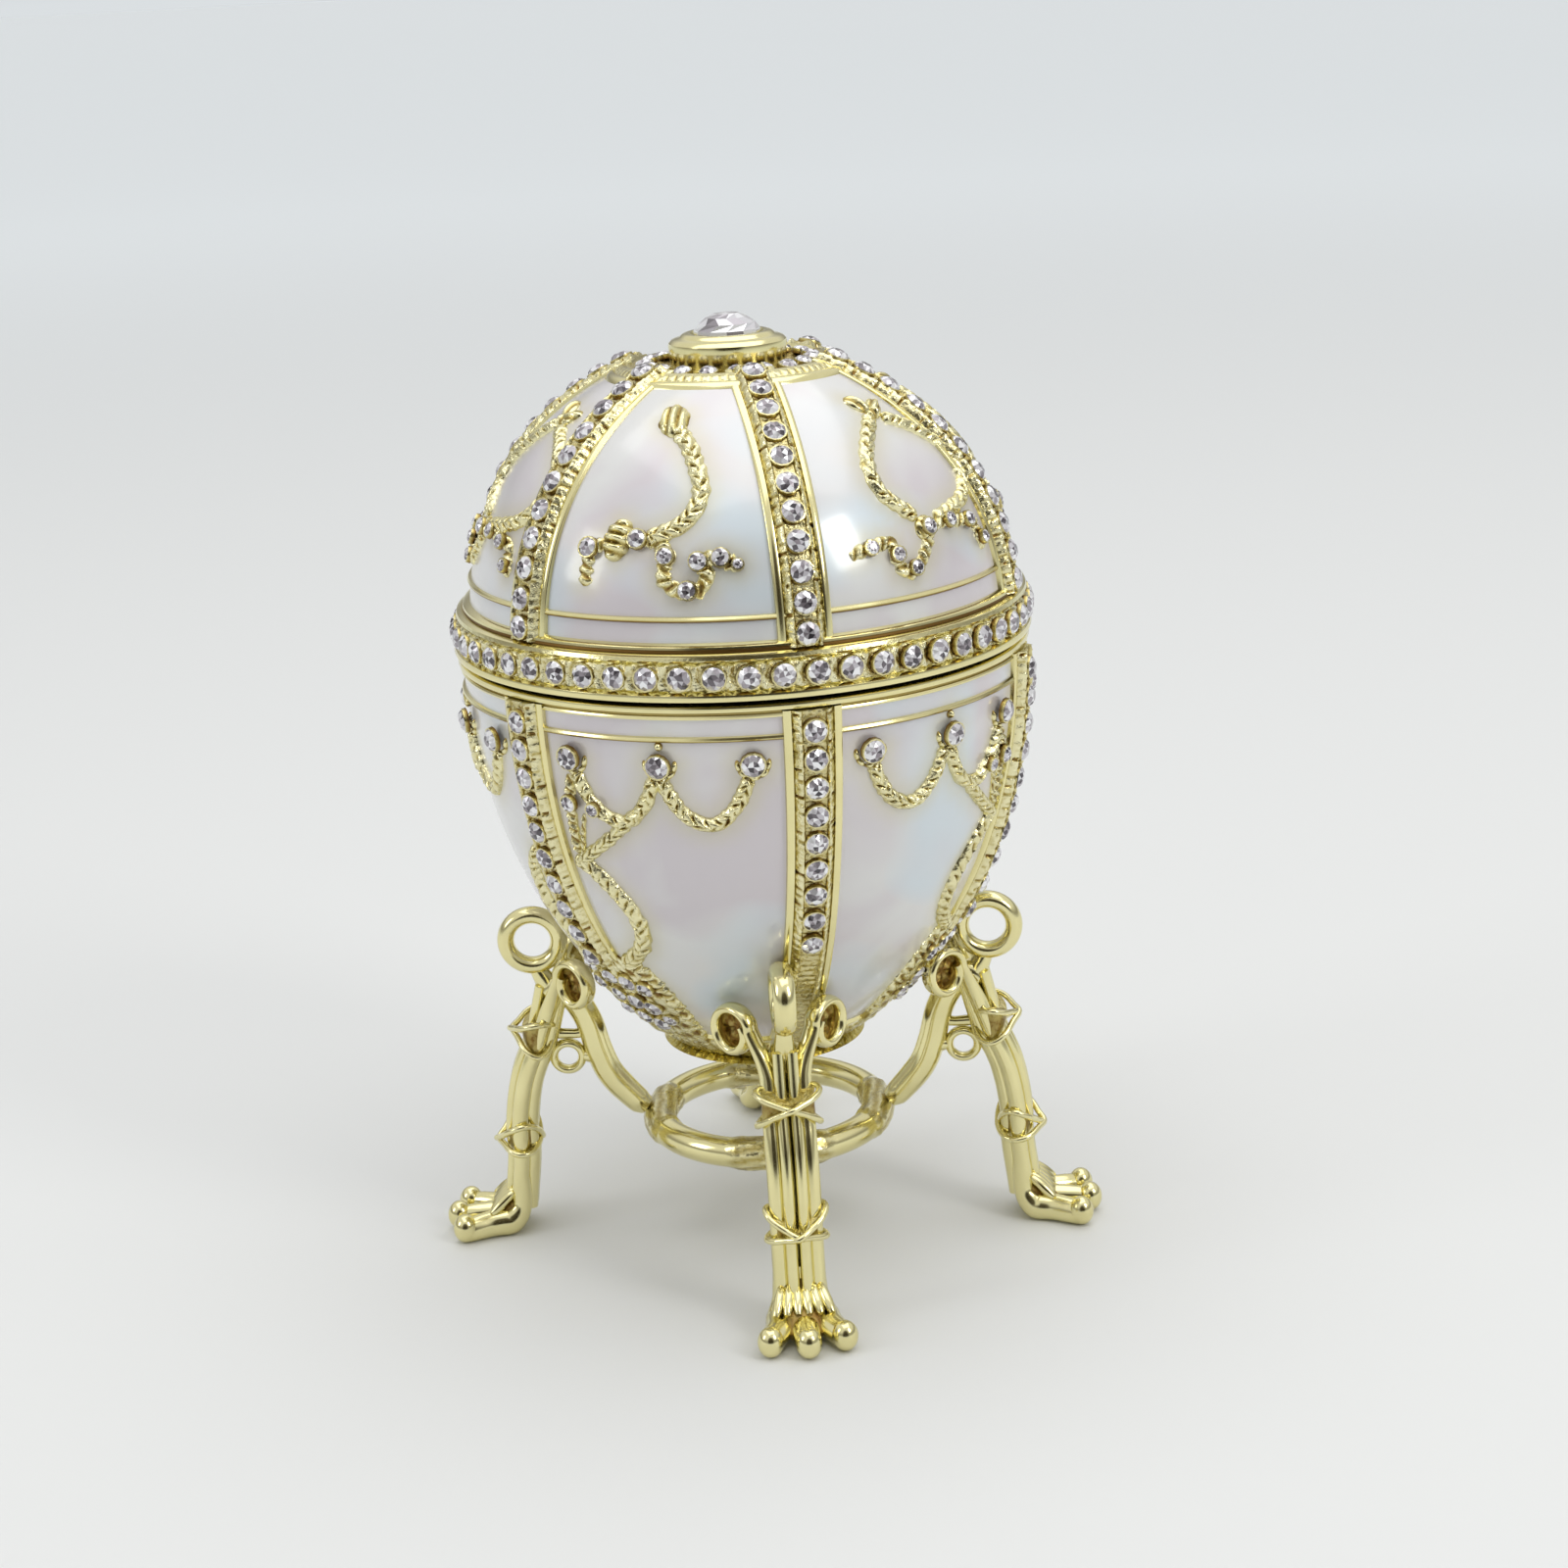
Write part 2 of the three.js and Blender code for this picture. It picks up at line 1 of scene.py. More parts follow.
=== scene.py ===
# Egg-shaped trinket box on a four-legged stand. The pieces are worked out in millimetres and put into
# the meshes in metres, +Z up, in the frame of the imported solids. The front looks towards -Y, and azimuths
# are degrees from -Y, growing towards +X.
import bpy
import numpy as np
from mathutils import Matrix, Vector


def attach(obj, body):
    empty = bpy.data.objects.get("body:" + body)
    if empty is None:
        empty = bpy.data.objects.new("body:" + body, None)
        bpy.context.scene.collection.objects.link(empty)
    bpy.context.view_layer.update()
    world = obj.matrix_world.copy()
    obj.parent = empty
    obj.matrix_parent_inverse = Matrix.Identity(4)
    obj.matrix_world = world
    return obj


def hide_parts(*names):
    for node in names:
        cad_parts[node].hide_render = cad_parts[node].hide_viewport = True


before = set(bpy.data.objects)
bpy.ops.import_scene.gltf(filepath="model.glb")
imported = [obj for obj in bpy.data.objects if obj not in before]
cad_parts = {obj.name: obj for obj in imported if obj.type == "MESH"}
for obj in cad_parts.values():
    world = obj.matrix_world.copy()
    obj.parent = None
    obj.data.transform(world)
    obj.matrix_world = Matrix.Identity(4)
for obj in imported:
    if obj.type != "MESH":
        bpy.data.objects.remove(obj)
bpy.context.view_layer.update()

mm = 0.001
draw = np.random.default_rng(7)

egg = {
    "seam": 61.8,  # floor to the parting line
    "ribs": 6,
    "firstRib": 12.6,  # azimuth of the rib nearest to the front
    "lid": {"radius": 26.5, "reach": 29.0, "power": 2.56, "bend": 0.632, "way": 1},
    "bowl": {"radius": 27.4, "reach": 44.4, "power": 2.13, "bend": 0.661, "way": -1},
    "columns": 240,  # steps of a shell round the axis
    "gap": 0.15,  # from the parting line to each half
}
ribAzimuths = egg["firstRib"] + 360 / egg["ribs"] * np.arange(egg["ribs"])
panelAzimuths = ribAzimuths + 180 / egg["ribs"]


def unit(v):
    return v / np.maximum(np.linalg.norm(v, axis=-1, keepdims=True), 1e-9)


def outward(azimuth):
    # (sin a, -cos a, 0)
    a = np.radians(np.asarray(azimuth, float))
    return np.stack([np.sin(a), -np.cos(a), 0 * a], -1)


def sideways(azimuth):
    # (cos a, sin a, 0)
    a = np.radians(np.asarray(azimuth, float))
    return np.stack([np.cos(a), np.sin(a), 0 * a], -1)


def shellRadius(half, distance):
    # radius * (1 - (distance / reach) ** power) ** bend
    h = egg[half]
    part = np.clip(np.asarray(distance, float) / h["reach"], 0, 0.9999)
    return h["radius"] * (1 - part ** h["power"]) ** h["bend"]


def onShell(half, azimuth, distance, lift=0.0):
    # point = outward * radius(distance) + z * (seam +- distance) + normal * lift
    azimuth, distance, lift = np.broadcast_arrays(np.asarray(azimuth, float), distance, lift)
    way = egg[half]["way"]
    slope = (shellRadius(half, distance + 0.05) - shellRadius(half, distance - 0.05)) / 0.1
    out = outward(azimuth)
    normal = unit(out + np.stack([0 * slope, 0 * slope, -slope * way], -1))
    point = out * shellRadius(half, distance)[..., None]
    point[..., 2] = egg["seam"] + way * distance
    return point + normal * lift[..., None], normal


def fullTurn(count):
    return 2 * np.pi * np.arange(count) / count


def atSeam(points):
    # (radius, height above the parting line) to (radius, height above the floor)
    return np.array(points) + [0, egg["seam"]]


def lengthAlong(path):
    return np.concatenate([[0], np.cumsum(np.linalg.norm(np.diff(path, axis=0), axis=1))])


def grid(points, tone=0.0, grain=0.0, closedU=False):
    # Closed body from a grid of points (u, v): v runs round, and open ends in u get a fan
    nu, nv = points.shape[:2]
    v = points.reshape(-1, 3)
    tone = np.broadcast_to(tone, (nu, nv)).ravel()
    grain = np.broadcast_to(grain, (nu, nv)).ravel()
    u = np.arange(nu if closedU else nu - 1)[:, None]
    row, after = u * nv, (u + 1) % nu * nv
    i = np.arange(nv)
    j = (i + 1) % nv
    quads = np.stack([row + i, row + j, after + j, after + i], -1).reshape(-1, 4)
    tris = np.zeros((0, 3), int)
    if not closedU:
        last = (nu - 1) * nv
        tone = np.concatenate([tone, [tone[:nv].mean(), tone[-nv:].mean()]])
        grain = np.concatenate([grain, [grain[:nv].mean(), grain[-nv:].mean()]])
        centre = np.full(nv, len(v))
        tris = np.concatenate([
            np.stack([i, centre, j], -1),
            np.stack([last + j, centre + 1, last + i], -1),
        ])
        v = np.concatenate([v, [points[0].mean(0), points[-1].mean(0)]])
    body = {"v": v, "quads": quads, "tris": tris, "tone": tone, "grain": grain}
    body["slots"] = np.zeros(len(quads) + len(tris), int)
    return outwardFaces(body)


def outwardFaces(body):
    # The signed volume of a closed body is positive when its faces point outwards
    v, q, t = body["v"], body["quads"], body["tris"]
    corners = np.concatenate([q[:, [0, 1, 2]], q[:, [0, 2, 3]], t])
    a, b, c = v[corners[:, 0]], v[corners[:, 1]], v[corners[:, 2]]
    if np.einsum("ij,ij->i", a - v.mean(0), np.cross(b - v.mean(0), c - v.mean(0))).sum() < 0:
        body["quads"] = q[:, ::-1]
        body["tris"] = t[:, ::-1]
    return body


def together(bodies):
    offset = 0
    quads, tris, quadSlots, triSlots = [], [], [], []
    for body in bodies:
        quads.append(body["quads"] + offset)
        tris.append(body["tris"] + offset)
        quadSlots.append(body["slots"][: len(body["quads"])])
        triSlots.append(body["slots"][len(body["quads"]):])
        offset += len(body["v"])
    joined = {key: np.concatenate([b[key] for b in bodies]) for key in ("v", "tone", "grain")}
    joined["quads"], joined["tris"] = np.concatenate(quads), np.concatenate(tris)
    joined["slots"] = np.concatenate(quadSlots + triSlots)
    return joined


def makePiece(name, bodies, materials, stands=(), crease=38, facetReflections=None):
    body = together(bodies)
    quads, tris = body["quads"], body["tris"]
    mesh = bpy.data.meshes.new(name)
    mesh.vertices.add(len(body["v"]))
    mesh.vertices.foreach_set("co", (body["v"] * mm).astype(np.float32).ravel())
    corners = np.concatenate([quads.ravel(), tris.ravel()]).astype(np.int32)
    mesh.loops.add(len(corners))
    mesh.loops.foreach_set("vertex_index", corners)
    starts = np.concatenate([np.arange(len(quads)) * 4, 4 * len(quads) + np.arange(len(tris)) * 3])
    mesh.polygons.add(len(starts))
    mesh.polygons.foreach_set("loop_start", starts.astype(np.int32))
    mesh.polygons.foreach_set("material_index", body["slots"].astype(np.int32))
    mesh.update(calc_edges=True)
    for key in ("tone", "grain"):
        mesh.attributes.new(key, "FLOAT", "POINT").data.foreach_set("value", body[key].astype(np.float32))
    if facetReflections is not None:
        mesh.attributes.new("shade", "FLOAT", "FACE").data.foreach_set("value", facetReflections.astype(np.float32))
    mesh.polygons.foreach_set("use_smooth", np.full(len(starts), crease > 0))
    if crease > 0:
        mesh.set_sharp_from_angle(angle=np.radians(crease))
    piece = bpy.data.objects.new(name, mesh)
    bpy.context.scene.collection.objects.link(piece)
    for material in materials:
        mesh.materials.append(material)
    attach(piece, "root")
    if stands:
        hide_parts(*stands)
    print("made", name, len(quads) * 2 + len(tris), "triangles")


def turned(profile, count, slotFrom=None):
    # Profile of (radius, height) turned about Z and closed by a fan at each end. The rows from
    # slotFrom on take the second material.
    angle = fullTurn(count)
    profile = np.asarray(profile, float)
    body = grid(np.stack([
        profile[:, :1] * np.cos(angle), profile[:, :1] * np.sin(angle), profile[:, 1:] + 0 * angle,
    ], -1))
    if slotFrom is not None:
        rows = np.arange(len(profile) - 1).repeat(count)
        body["slots"][: len(rows)] = rows >= slotFrom
        body["slots"][-count:] = 1
    return body


def hoop(outline, count, tone=0.0, grain=0.0, raised=0.0):
    # Closed outline of (radius, height) turned about Z, with raised(angle, point) added to the radius
    angle = fullTurn(count)[:, None]
    radius = outline[:, 0] + raised + 0 * angle
    points = np.stack([radius * np.sin(angle), -radius * np.cos(angle), outline[:, 1] + 0 * angle], -1)
    return grid(points, tone, grain, closedU=True)


def tube(path, radius, sides=14, closed=False, flat=1.0, guide=(0, 0, 1), tone=0.0, grain=0.0, fixed=False):
    # path(u) + radius(u) * (cos v * side + flat * sin v * up), with the frame turned along the path, or
    # with up kept along the guide
    path = np.asarray(path, float)
    if closed:
        along = unit(np.roll(path, -1, 0) - np.roll(path, 1, 0))
    else:
        along = unit(np.gradient(path, axis=0))
    side = np.zeros_like(path)
    first = np.cross(along[0], guide)
    if np.linalg.norm(first) < 0.1:
        first = np.cross(along[0], (1, 0, 0))
    side[0] = unit(first)
    for i in range(1, len(path)):
        side[i] = unit(side[i - 1] - along[i] * (side[i - 1] @ along[i]))
    if fixed:
        side = unit(np.cross(along, guide))
    up = np.cross(side, along)
    angle = fullTurn(sides)
    radius = np.broadcast_to(radius, (len(path),))[:, None, None]
    flat = np.broadcast_to(flat, (len(path),))[:, None, None]
    ring = np.cos(angle)[:, None] * side[:, None] + flat * np.sin(angle)[:, None] * up[:, None]
    return grid(path[:, None] + radius * ring, tone, grain, closedU=closed)


def throughPoints(points, step=0.3):
    # Smooth line through points: cubic Hermite with neighbour tangents, evenly spaced
    p = np.asarray(points, float)
    p = np.concatenate([2 * p[:1] - p[1:2], p, 2 * p[-1:] - p[-2:-1]])
    t = np.linspace(0, 1, 40, endpoint=False)[:, None]
    rows = []
    for i in range(1, len(p) - 2):
        leaving, arriving = (p[i + 1] - p[i - 1]) / 2, (p[i + 2] - p[i]) / 2
        rows.append((2 * t**3 - 3 * t**2 + 1) * p[i] + (t**3 - 2 * t**2 + t) * leaving
                    + (3 * t**2 - 2 * t**3) * p[i + 1] + (t**3 - t**2) * arriving)
    line = np.concatenate(rows + [p[-2:-1]])
    length = lengthAlong(line)
    count = max(int(round(length[-1] / step)), 3)
    at = np.linspace(0, length[-1], count + 1)
    return np.stack([np.interp(at, length, line[:, k]) for k in range(line.shape[1])], -1)


def withRoot(values, shape):
    # The two hidden columns at the root have neither tone nor grain
    return np.pad(np.broadcast_to(values, shape), ((0, 0), (0, 2)))


def laid(half, stations, across, lift, tone=0.0, grain=0.0, root=-0.35):
    # Moulding on a shell: seat(u) + across(u, v) * side + lift(u, v) * normal, closed by a flat root below
    seat, normal = onShell(half, stations[:, 0], stations[:, 1])
    side = np.cross(unit(np.gradient(seat, axis=0)), normal)
    shape = (len(seat), np.shape(across)[-1])
    across = np.broadcast_to(across, shape)
    across = np.concatenate([across, across[:, -1:], across[:, :1]], 1)
    lift = np.concatenate([np.broadcast_to(lift, shape), np.full((len(seat), 2), root)], 1)
    points = seat[:, None] + across[..., None] * side[:, None] + lift[..., None] * normal[:, None]
    return grid(points, withRoot(tone, shape), withRoot(grain, shape))


def stationsOn(half, pairs, step):
    # Smooth line through (azimuth, distance) pairs, evenly spaced on a shell of 22 mm mean radius
    scale = np.radians(1) * 22.0
    return throughPoints(np.asarray(pairs, float) * [scale, 1], step) / [scale, 1]


# Stones and their seats
stone = {
    "table": 0.5,  # radius of the flat top, as a share of the stone's radius
    "middle": 0.8,
    "crown": 0.42,  # height of the top above the girdle
    "seatWall": 0.15,  # thickness of the seat's rim, mm
    "seatHigh": 0.05,
    "seatSides": 12,
}


def stoneShape():
    # Rings of the cut: centre, table 8, middle 8 turned half a step, girdle 16, foot
    def ring(radius, height, count, turn):
        a = 2 * np.pi * (np.arange(count) + turn) / count
        return np.stack([radius * np.cos(a), radius * np.sin(a), np.full(count, height)], -1)

    # the corners of v in this order: 0, 1-8, 9-16, 17-32 and 33
    v = np.concatenate([
        [[0, 0, stone["crown"]]],
        ring(stone["table"], stone["crown"] * 0.97, 8, 0),
        ring(stone["middle"], stone["crown"] * 0.62, 8, 0.5),
        ring(1.0, 0.0, 16, 0),
        [[0, 0, -0.6]],
    ])
    i = np.arange(8)
    j = (i + 1) % 8
    k = np.arange(16)
    tris = np.concatenate([
        np.stack([0 * i, 1 + i, 1 + j], -1),
        np.stack([1 + i, 9 + i, 1 + j], -1),
        np.stack([9 + i, 17 + 2 * i, 17 + 2 * i + 1], -1),
        np.stack([9 + i, 17 + 2 * i + 1, 17 + (2 * i + 2) % 16], -1),
        np.stack([0 * k + 33, 17 + (k + 1) % 16, 17 + k], -1),
    ])
    quads = np.stack([1 + j, 9 + i, 17 + (2 * i + 2) % 16, 9 + j], -1)
    return v, quads, tris


def axesAcross(normal):
    side = unit(np.cross(normal, np.array([0.13, 0.21, 0.97])))
    return side, np.cross(normal, side)


def stoneSet(spots):
    # Every stone is the same cut, turned by its own angle: centre + radius * (x * side + y * up + z * normal)
    centre, normal, radius = spots[:, :3], unit(spots[:, 3:6]), spots[:, 6]
    n = len(spots)
    normal = unit(normal + draw.normal(0, 0.05, (n, 3)))
    side, up = axesAcross(normal)
    turn = draw.uniform(0, 2 * np.pi, n)
    turnedSide = np.cos(turn)[:, None] * side + np.sin(turn)[:, None] * up
    v, quads, tris = stoneShape()
    axes = np.stack([turnedSide, np.cross(normal, turnedSide), normal], 1)
    points = centre[:, None] + radius[:, None, None] * np.einsum("vk,nkc->nvc", v, axes)
    shift = (np.arange(n) * len(v))[:, None, None]
    body = {
        "v": points.reshape(-1, 3),
        "quads": (quads + shift).reshape(-1, 4),
        "tris": (tris + shift).reshape(-1, 3),
        "tone": np.zeros(n * len(v)),
        "grain": np.zeros(n * len(v)),
        "slots": np.zeros(n * (len(quads) + len(tris)), int),
    }
    # Each facet gets a painted reflection, a grey from black to white, for the back that a cut stone shows through
    # every facet
    table = draw.choice([0.03, 0.16, 0.35, 0.62, 1.0], (n, 8), p=[0.2, 0.22, 0.24, 0.2, 0.14])
    crown = draw.choice([0.2, 0.5, 0.8, 1.0], (n, len(tris) - 24), p=[0.16, 0.26, 0.34, 0.24])
    kites = draw.choice([0.1, 0.45, 0.75, 1.0], (n, 8), p=[0.2, 0.26, 0.3, 0.24])
    facetReflections = np.concatenate([kites.ravel(), np.concatenate([table, crown, np.full((n, 16), 0.5)], 1).ravel()])
    return body, facetReflections


def seatSet(spots):
    # Rim round every stone: a hoop with a four-sided section
    centre, normal, radius = spots[:, :3], unit(spots[:, 3:6]), spots[:, 6]
    n, sides, wall, high = len(spots), stone["seatSides"], stone["seatWall"], stone["seatHigh"]
    side, up = axesAcross(normal)
    a = fullTurn(sides)
    ring = np.cos(a)[:, None] * side[:, None] + np.sin(a)[:, None] * up[:, None]
    section = [(-0.05, high), (0.6 * wall, high * 0.6), (wall, -0.4), (-0.2, -0.5)]
    points = np.stack([
        centre[:, None] + (radius[:, None, None] + r) * ring + h * normal[:, None] for r, h in section
    ], 2)
    one = grid(points[0], closedU=True)["quads"]
    corners = sides * len(section)
    quads = (one + (np.arange(n) * corners)[:, None, None]).reshape(-1, 4)
    # tone: the rim's outer wall and underside are painted shade
    return {"v": points.reshape(-1, 3), "quads": quads, "tris": np.zeros((0, 3), int),
            "tone": np.tile([0.12, 0.2, 0.95, 0.95], n * sides), "grain": np.full(n * corners, 0.4),
            "slots": np.zeros(len(quads), int)}


def stoneSpots(half, azimuth, distance, radius, lift):
    # One row per stone: centre, normal and radius
    azimuth, distance, radius, lift = np.broadcast_arrays(np.asarray(azimuth, float), distance, radius, lift)
    point, normal = onShell(half, azimuth, distance, lift)
    return np.concatenate([point, normal, radius[..., None]], -1).reshape(-1, 7)


# Materials
def nodeTree(name):
    material = bpy.data.materials.new(name)
    material.use_nodes = True
    tree = material.node_tree
    return material, tree, tree.nodes["Principled BSDF"]


def setValues(node, values):
    for key, value in values.items():
        node.inputs[key].default_value = value


def add(tree, kind, feeds=None, values=None, **settings):
    # New node with its settings, its sockets' own values, and the outputs that feed its other sockets
    node = tree.nodes.new(kind)
    for key, value in settings.items():
        setattr(node, key, value)
    setValues(node, values or {})
    for key, source in (feeds or {}).items():
        tree.links.new(source, node.inputs[key])
    return node


def ramp(tree, factor, stops):
    node = add(tree, "ShaderNodeValToRGB", {"Fac": factor})
    elements = node.color_ramp.elements
    while len(elements) < len(stops):
        elements.new(0.5)
    for element, (place, colour) in zip(elements, stops):
        element.position = place
        element.color = (*colour, 1)
    return node.outputs["Color"]


def objectPlace(tree):
    return add(tree, "ShaderNodeTexCoord").outputs["Object"]


def attribute(tree, name):
    return add(tree, "ShaderNodeAttribute", attribute_name=name).outputs["Fac"]


def noise(tree, where, scale, detail, distortion=0.0):
    values = {"Scale": scale, "Detail": detail, "Distortion": distortion}
    return add(tree, "ShaderNodeTexNoise", {"Vector": where}, values).outputs["Fac"]


def calculate(tree, operation, feeds, values=None):
    return add(tree, "ShaderNodeMath", feeds, values, operation=operation).outputs[0]


def span(tree, factor, between, to=(0.0, 1.0), way="LINEAR"):
    # The factor's range, between, becomes the range to
    values = {"From Min": between[0], "From Max": between[1], "To Min": to[0], "To Max": to[1]}
    return add(tree, "ShaderNodeMapRange", {"Value": factor}, values, interpolation_type=way).outputs["Result"]


def blend(tree, factor, colour, other):
    return add(tree, "ShaderNodeMix", {"Factor": factor, 6: colour, 7: other}, data_type="RGBA").outputs[2]


def bump(tree, height, strength, distance):
    values = {"Strength": strength, "Distance": distance}
    return add(tree, "ShaderNodeBump", {"Height": height}, values).outputs["Normal"]


def plain(tree, colour):
    node = add(tree, "ShaderNodeRGB")
    node.outputs[0].default_value = (*colour, 1)
    return node.outputs[0]


paleGold = {
    "bright": (0.87, 0.80, 0.43),
    # the two darker golds below are painted shade, reached where tone is high
    "deep": (0.50, 0.41, 0.14),
    "recessShade": (0.23, 0.13, 0.035),
    "cloudSize": 260.0,
    "clouds": 0.24,  # how much the broad clouds add to the tone
    "speckRange": (0.5, 0.66),  # of the fine noise
    "specks": 0.3,
    "matt": (0.86, 0.82, 0.55),  # paler where the casting is grainy
    "roughness": (0.13, 0.42),
    "grainSize": 2200.0,
    "grainDepth": 0.0002,  # m
}


def makeGold():
    # Polished plate: painted shade, darker and rougher where tone is high, with fine casting grain where grain is
    # high
    material, tree, shader = nodeTree("paleGoldPlate")
    where, tone, grain = objectPlace(tree), attribute(tree, "tone"), attribute(tree, "grain")
    cloud = noise(tree, where, paleGold["cloudSize"], 3.0)
    fine = noise(tree, where, paleGold["grainSize"], 4.0)
    dark = span(tree, fine, paleGold["speckRange"], (0.0, paleGold["specks"]))
    speck = calculate(tree, "MULTIPLY_ADD", {0: dark, 1: grain, 2: tone})
    uneven = calculate(tree, "MULTIPLY_ADD", {0: cloud, 2: speck}, {1: paleGold["clouds"]})
    # painted shade in the hollows where tone is high
    hollows = [(0.62, paleGold["deep"]), (1.0, paleGold["recessShade"])]
    smooth = ramp(tree, uneven, [(0.08, paleGold["bright"])] + hollows)
    grainy = ramp(tree, uneven, [(0.1, paleGold["matt"])] + hollows)
    links = tree.links
    links.new(blend(tree, grain, smooth, grainy), shader.inputs["Base Color"])
    links.new(span(tree, uneven, (0.0, 1.1), paleGold["roughness"]), shader.inputs["Roughness"])
    height = calculate(tree, "MULTIPLY", {0: fine, 1: grain})
    links.new(bump(tree, height, 0.9, paleGold["grainDepth"]), shader.inputs["Normal"])
    shader.inputs["Metallic"].default_value = 1.0
    return material


pearlEnamel = {
    "lilac": (0.645, 0.60, 0.63),
    "milk": (0.73, 0.73, 0.72),
    "ice": (0.645, 0.72, 0.77),
    "glow": (0.66, 0.61, 0.42),  # painted reflection of the gold in the lacquer next to the ornaments
    "glowStrength": 0.55,
    "glowReach": 1.3,  # mm
    "cloudSize": 62.0,
    "iceRange": (0.5, 0.66),  # of the second noise
    "flakeSize": 5200.0,
    "roughness": (0.26, 0.42),
    "ripple": 0.0006,  # depth of the coat's waves, m
    "finish": {"Metallic": 0.12, "Coat Weight": 0.9, "Coat Roughness": 0.13, "Coat IOR": 1.75,
               "Sheen Weight": 0.15, "Sheen Roughness": 0.4},
}


def makeEnamel():
    # Pearl lacquer: lilac and milk clouds, icy blue where a second noise is high, under a clear coat, with a
    # painted reflection of the gold near the ornaments
    material, tree, shader = nodeTree("pearlEnamel")
    where, size = objectPlace(tree), pearlEnamel["cloudSize"]
    moved = add(tree, "ShaderNodeMapping", {"Vector": where}, {"Location": (0.31, 0.17, 0.53)})
    broad = noise(tree, where, size, 2.5, 0.7)
    second = noise(tree, moved.outputs["Vector"], size * 0.8, 1.5, 1.1)
    flake = noise(tree, where, pearlEnamel["flakeSize"], 2.0)
    milky = ramp(tree, broad, [(0.4, pearlEnamel["lilac"]), (0.6, pearlEnamel["milk"])])
    pearl = blend(tree, span(tree, second, pearlEnamel["iceRange"]), milky, plain(tree, pearlEnamel["ice"]))
    # painted reflection of the gold, where tone is high
    goldReflected = blend(tree, attribute(tree, "tone"), pearl, plain(tree, pearlEnamel["glow"]))
    links = tree.links
    links.new(goldReflected, shader.inputs["Base Color"])
    links.new(span(tree, flake, (0.0, 1.0), pearlEnamel["roughness"]), shader.inputs["Roughness"])
    links.new(bump(tree, broad, 0.25, pearlEnamel["ripple"]), shader.inputs["Coat Normal"])
    setValues(shader, pearlEnamel["finish"])
    return material


cutCrystal = {
    "facets": [(0.0, (0.03, 0.026, 0.032)), (0.35, (0.27, 0.235, 0.26)), (0.7, (0.62, 0.60, 0.635)),
               (1.0, (0.93, 0.93, 0.95))],
    "finish": {"Roughness": 0.06, "Metallic": 0.45, "IOR": 1.56, "Coat Weight": 0.6, "Coat Roughness": 0.02},
}


def makeCrystal():
    # Cut crystal with a silvered back: each facet's painted reflection as a grey, with a sharp gloss over it
    material, tree, shader = nodeTree("cutCrystal")
    tree.links.new(ramp(tree, attribute(tree, "shade"), cutCrystal["facets"]), shader.inputs["Base Color"])
    setValues(shader, cutCrystal["finish"])
    return material


gold = makeGold()
enamel = makeEnamel()
crystal = makeCrystal()

# Ribs: six raised bars on each half, with a channel of stones between notched slopes and smooth borders
rib = {
    "half": 2.55,  # half width, mm
    "height": 1.2,
    "notchPitch": 0.86,
    "notchDepth": 0.24,
    "stoneRadius": 1.08,
    "lidStones": [26.2, 24.95, 23.5, 21.75, 19.85, 17.8, 15.6, 13.3, 10.85, 8.3, 5.75],
    "bowlStones": 9,
    "stoneLift": 1.25,  # girdle of a stone above the enamel
    "topStoneLift": 1.02,
    "firstBowlStone": 2.75,
    "bowlPitch": 2.68,
}
ribShape = np.array([  # share of the half width, share of the height, grain, tone (painted shade)
    (1.0, -0.1, 0.0, 0.2), (0.985, 0.3, 0.0, 0.05), (0.94, 0.38, 0.0, 0.0), (0.8, 0.42, 0.0, 0.0),
    (0.73, 0.38, 0.0, 0.0), (0.71, 0.25, 0.3, 0.5), (0.69, 0.3, 0.5, 0.2), (0.65, 0.48, 0.6, 0.1),
    (0.6, 0.66, 0.7, 0.05), (0.55, 0.82, 0.7, 0.0), (0.5, 0.94, 0.6, 0.0), (0.46, 0.98, 0.5, 0.05),
    (0.42, 0.9, 0.6, 0.25), (0.38, 0.72, 0.7, 0.35), (0.25, 0.7, 0.9, 0.25), (0.0, 0.7, 0.9, 0.25),
])
ribShape = np.concatenate([ribShape, (ribShape * [-1, 1, 1, 1])[-2::-1]])


def wander(s, scale, seed):
    # Smooth wandering line between -1 and 1: sum of four sines
    own = np.random.default_rng(seed)
    rate, phase = own.uniform(0.5, 1.6, 4), own.uniform(0, 2 * np.pi, 4)
    return np.sin(np.asarray(s)[..., None] * rate * 2 * np.pi / scale + phase).mean(-1) * 1.6


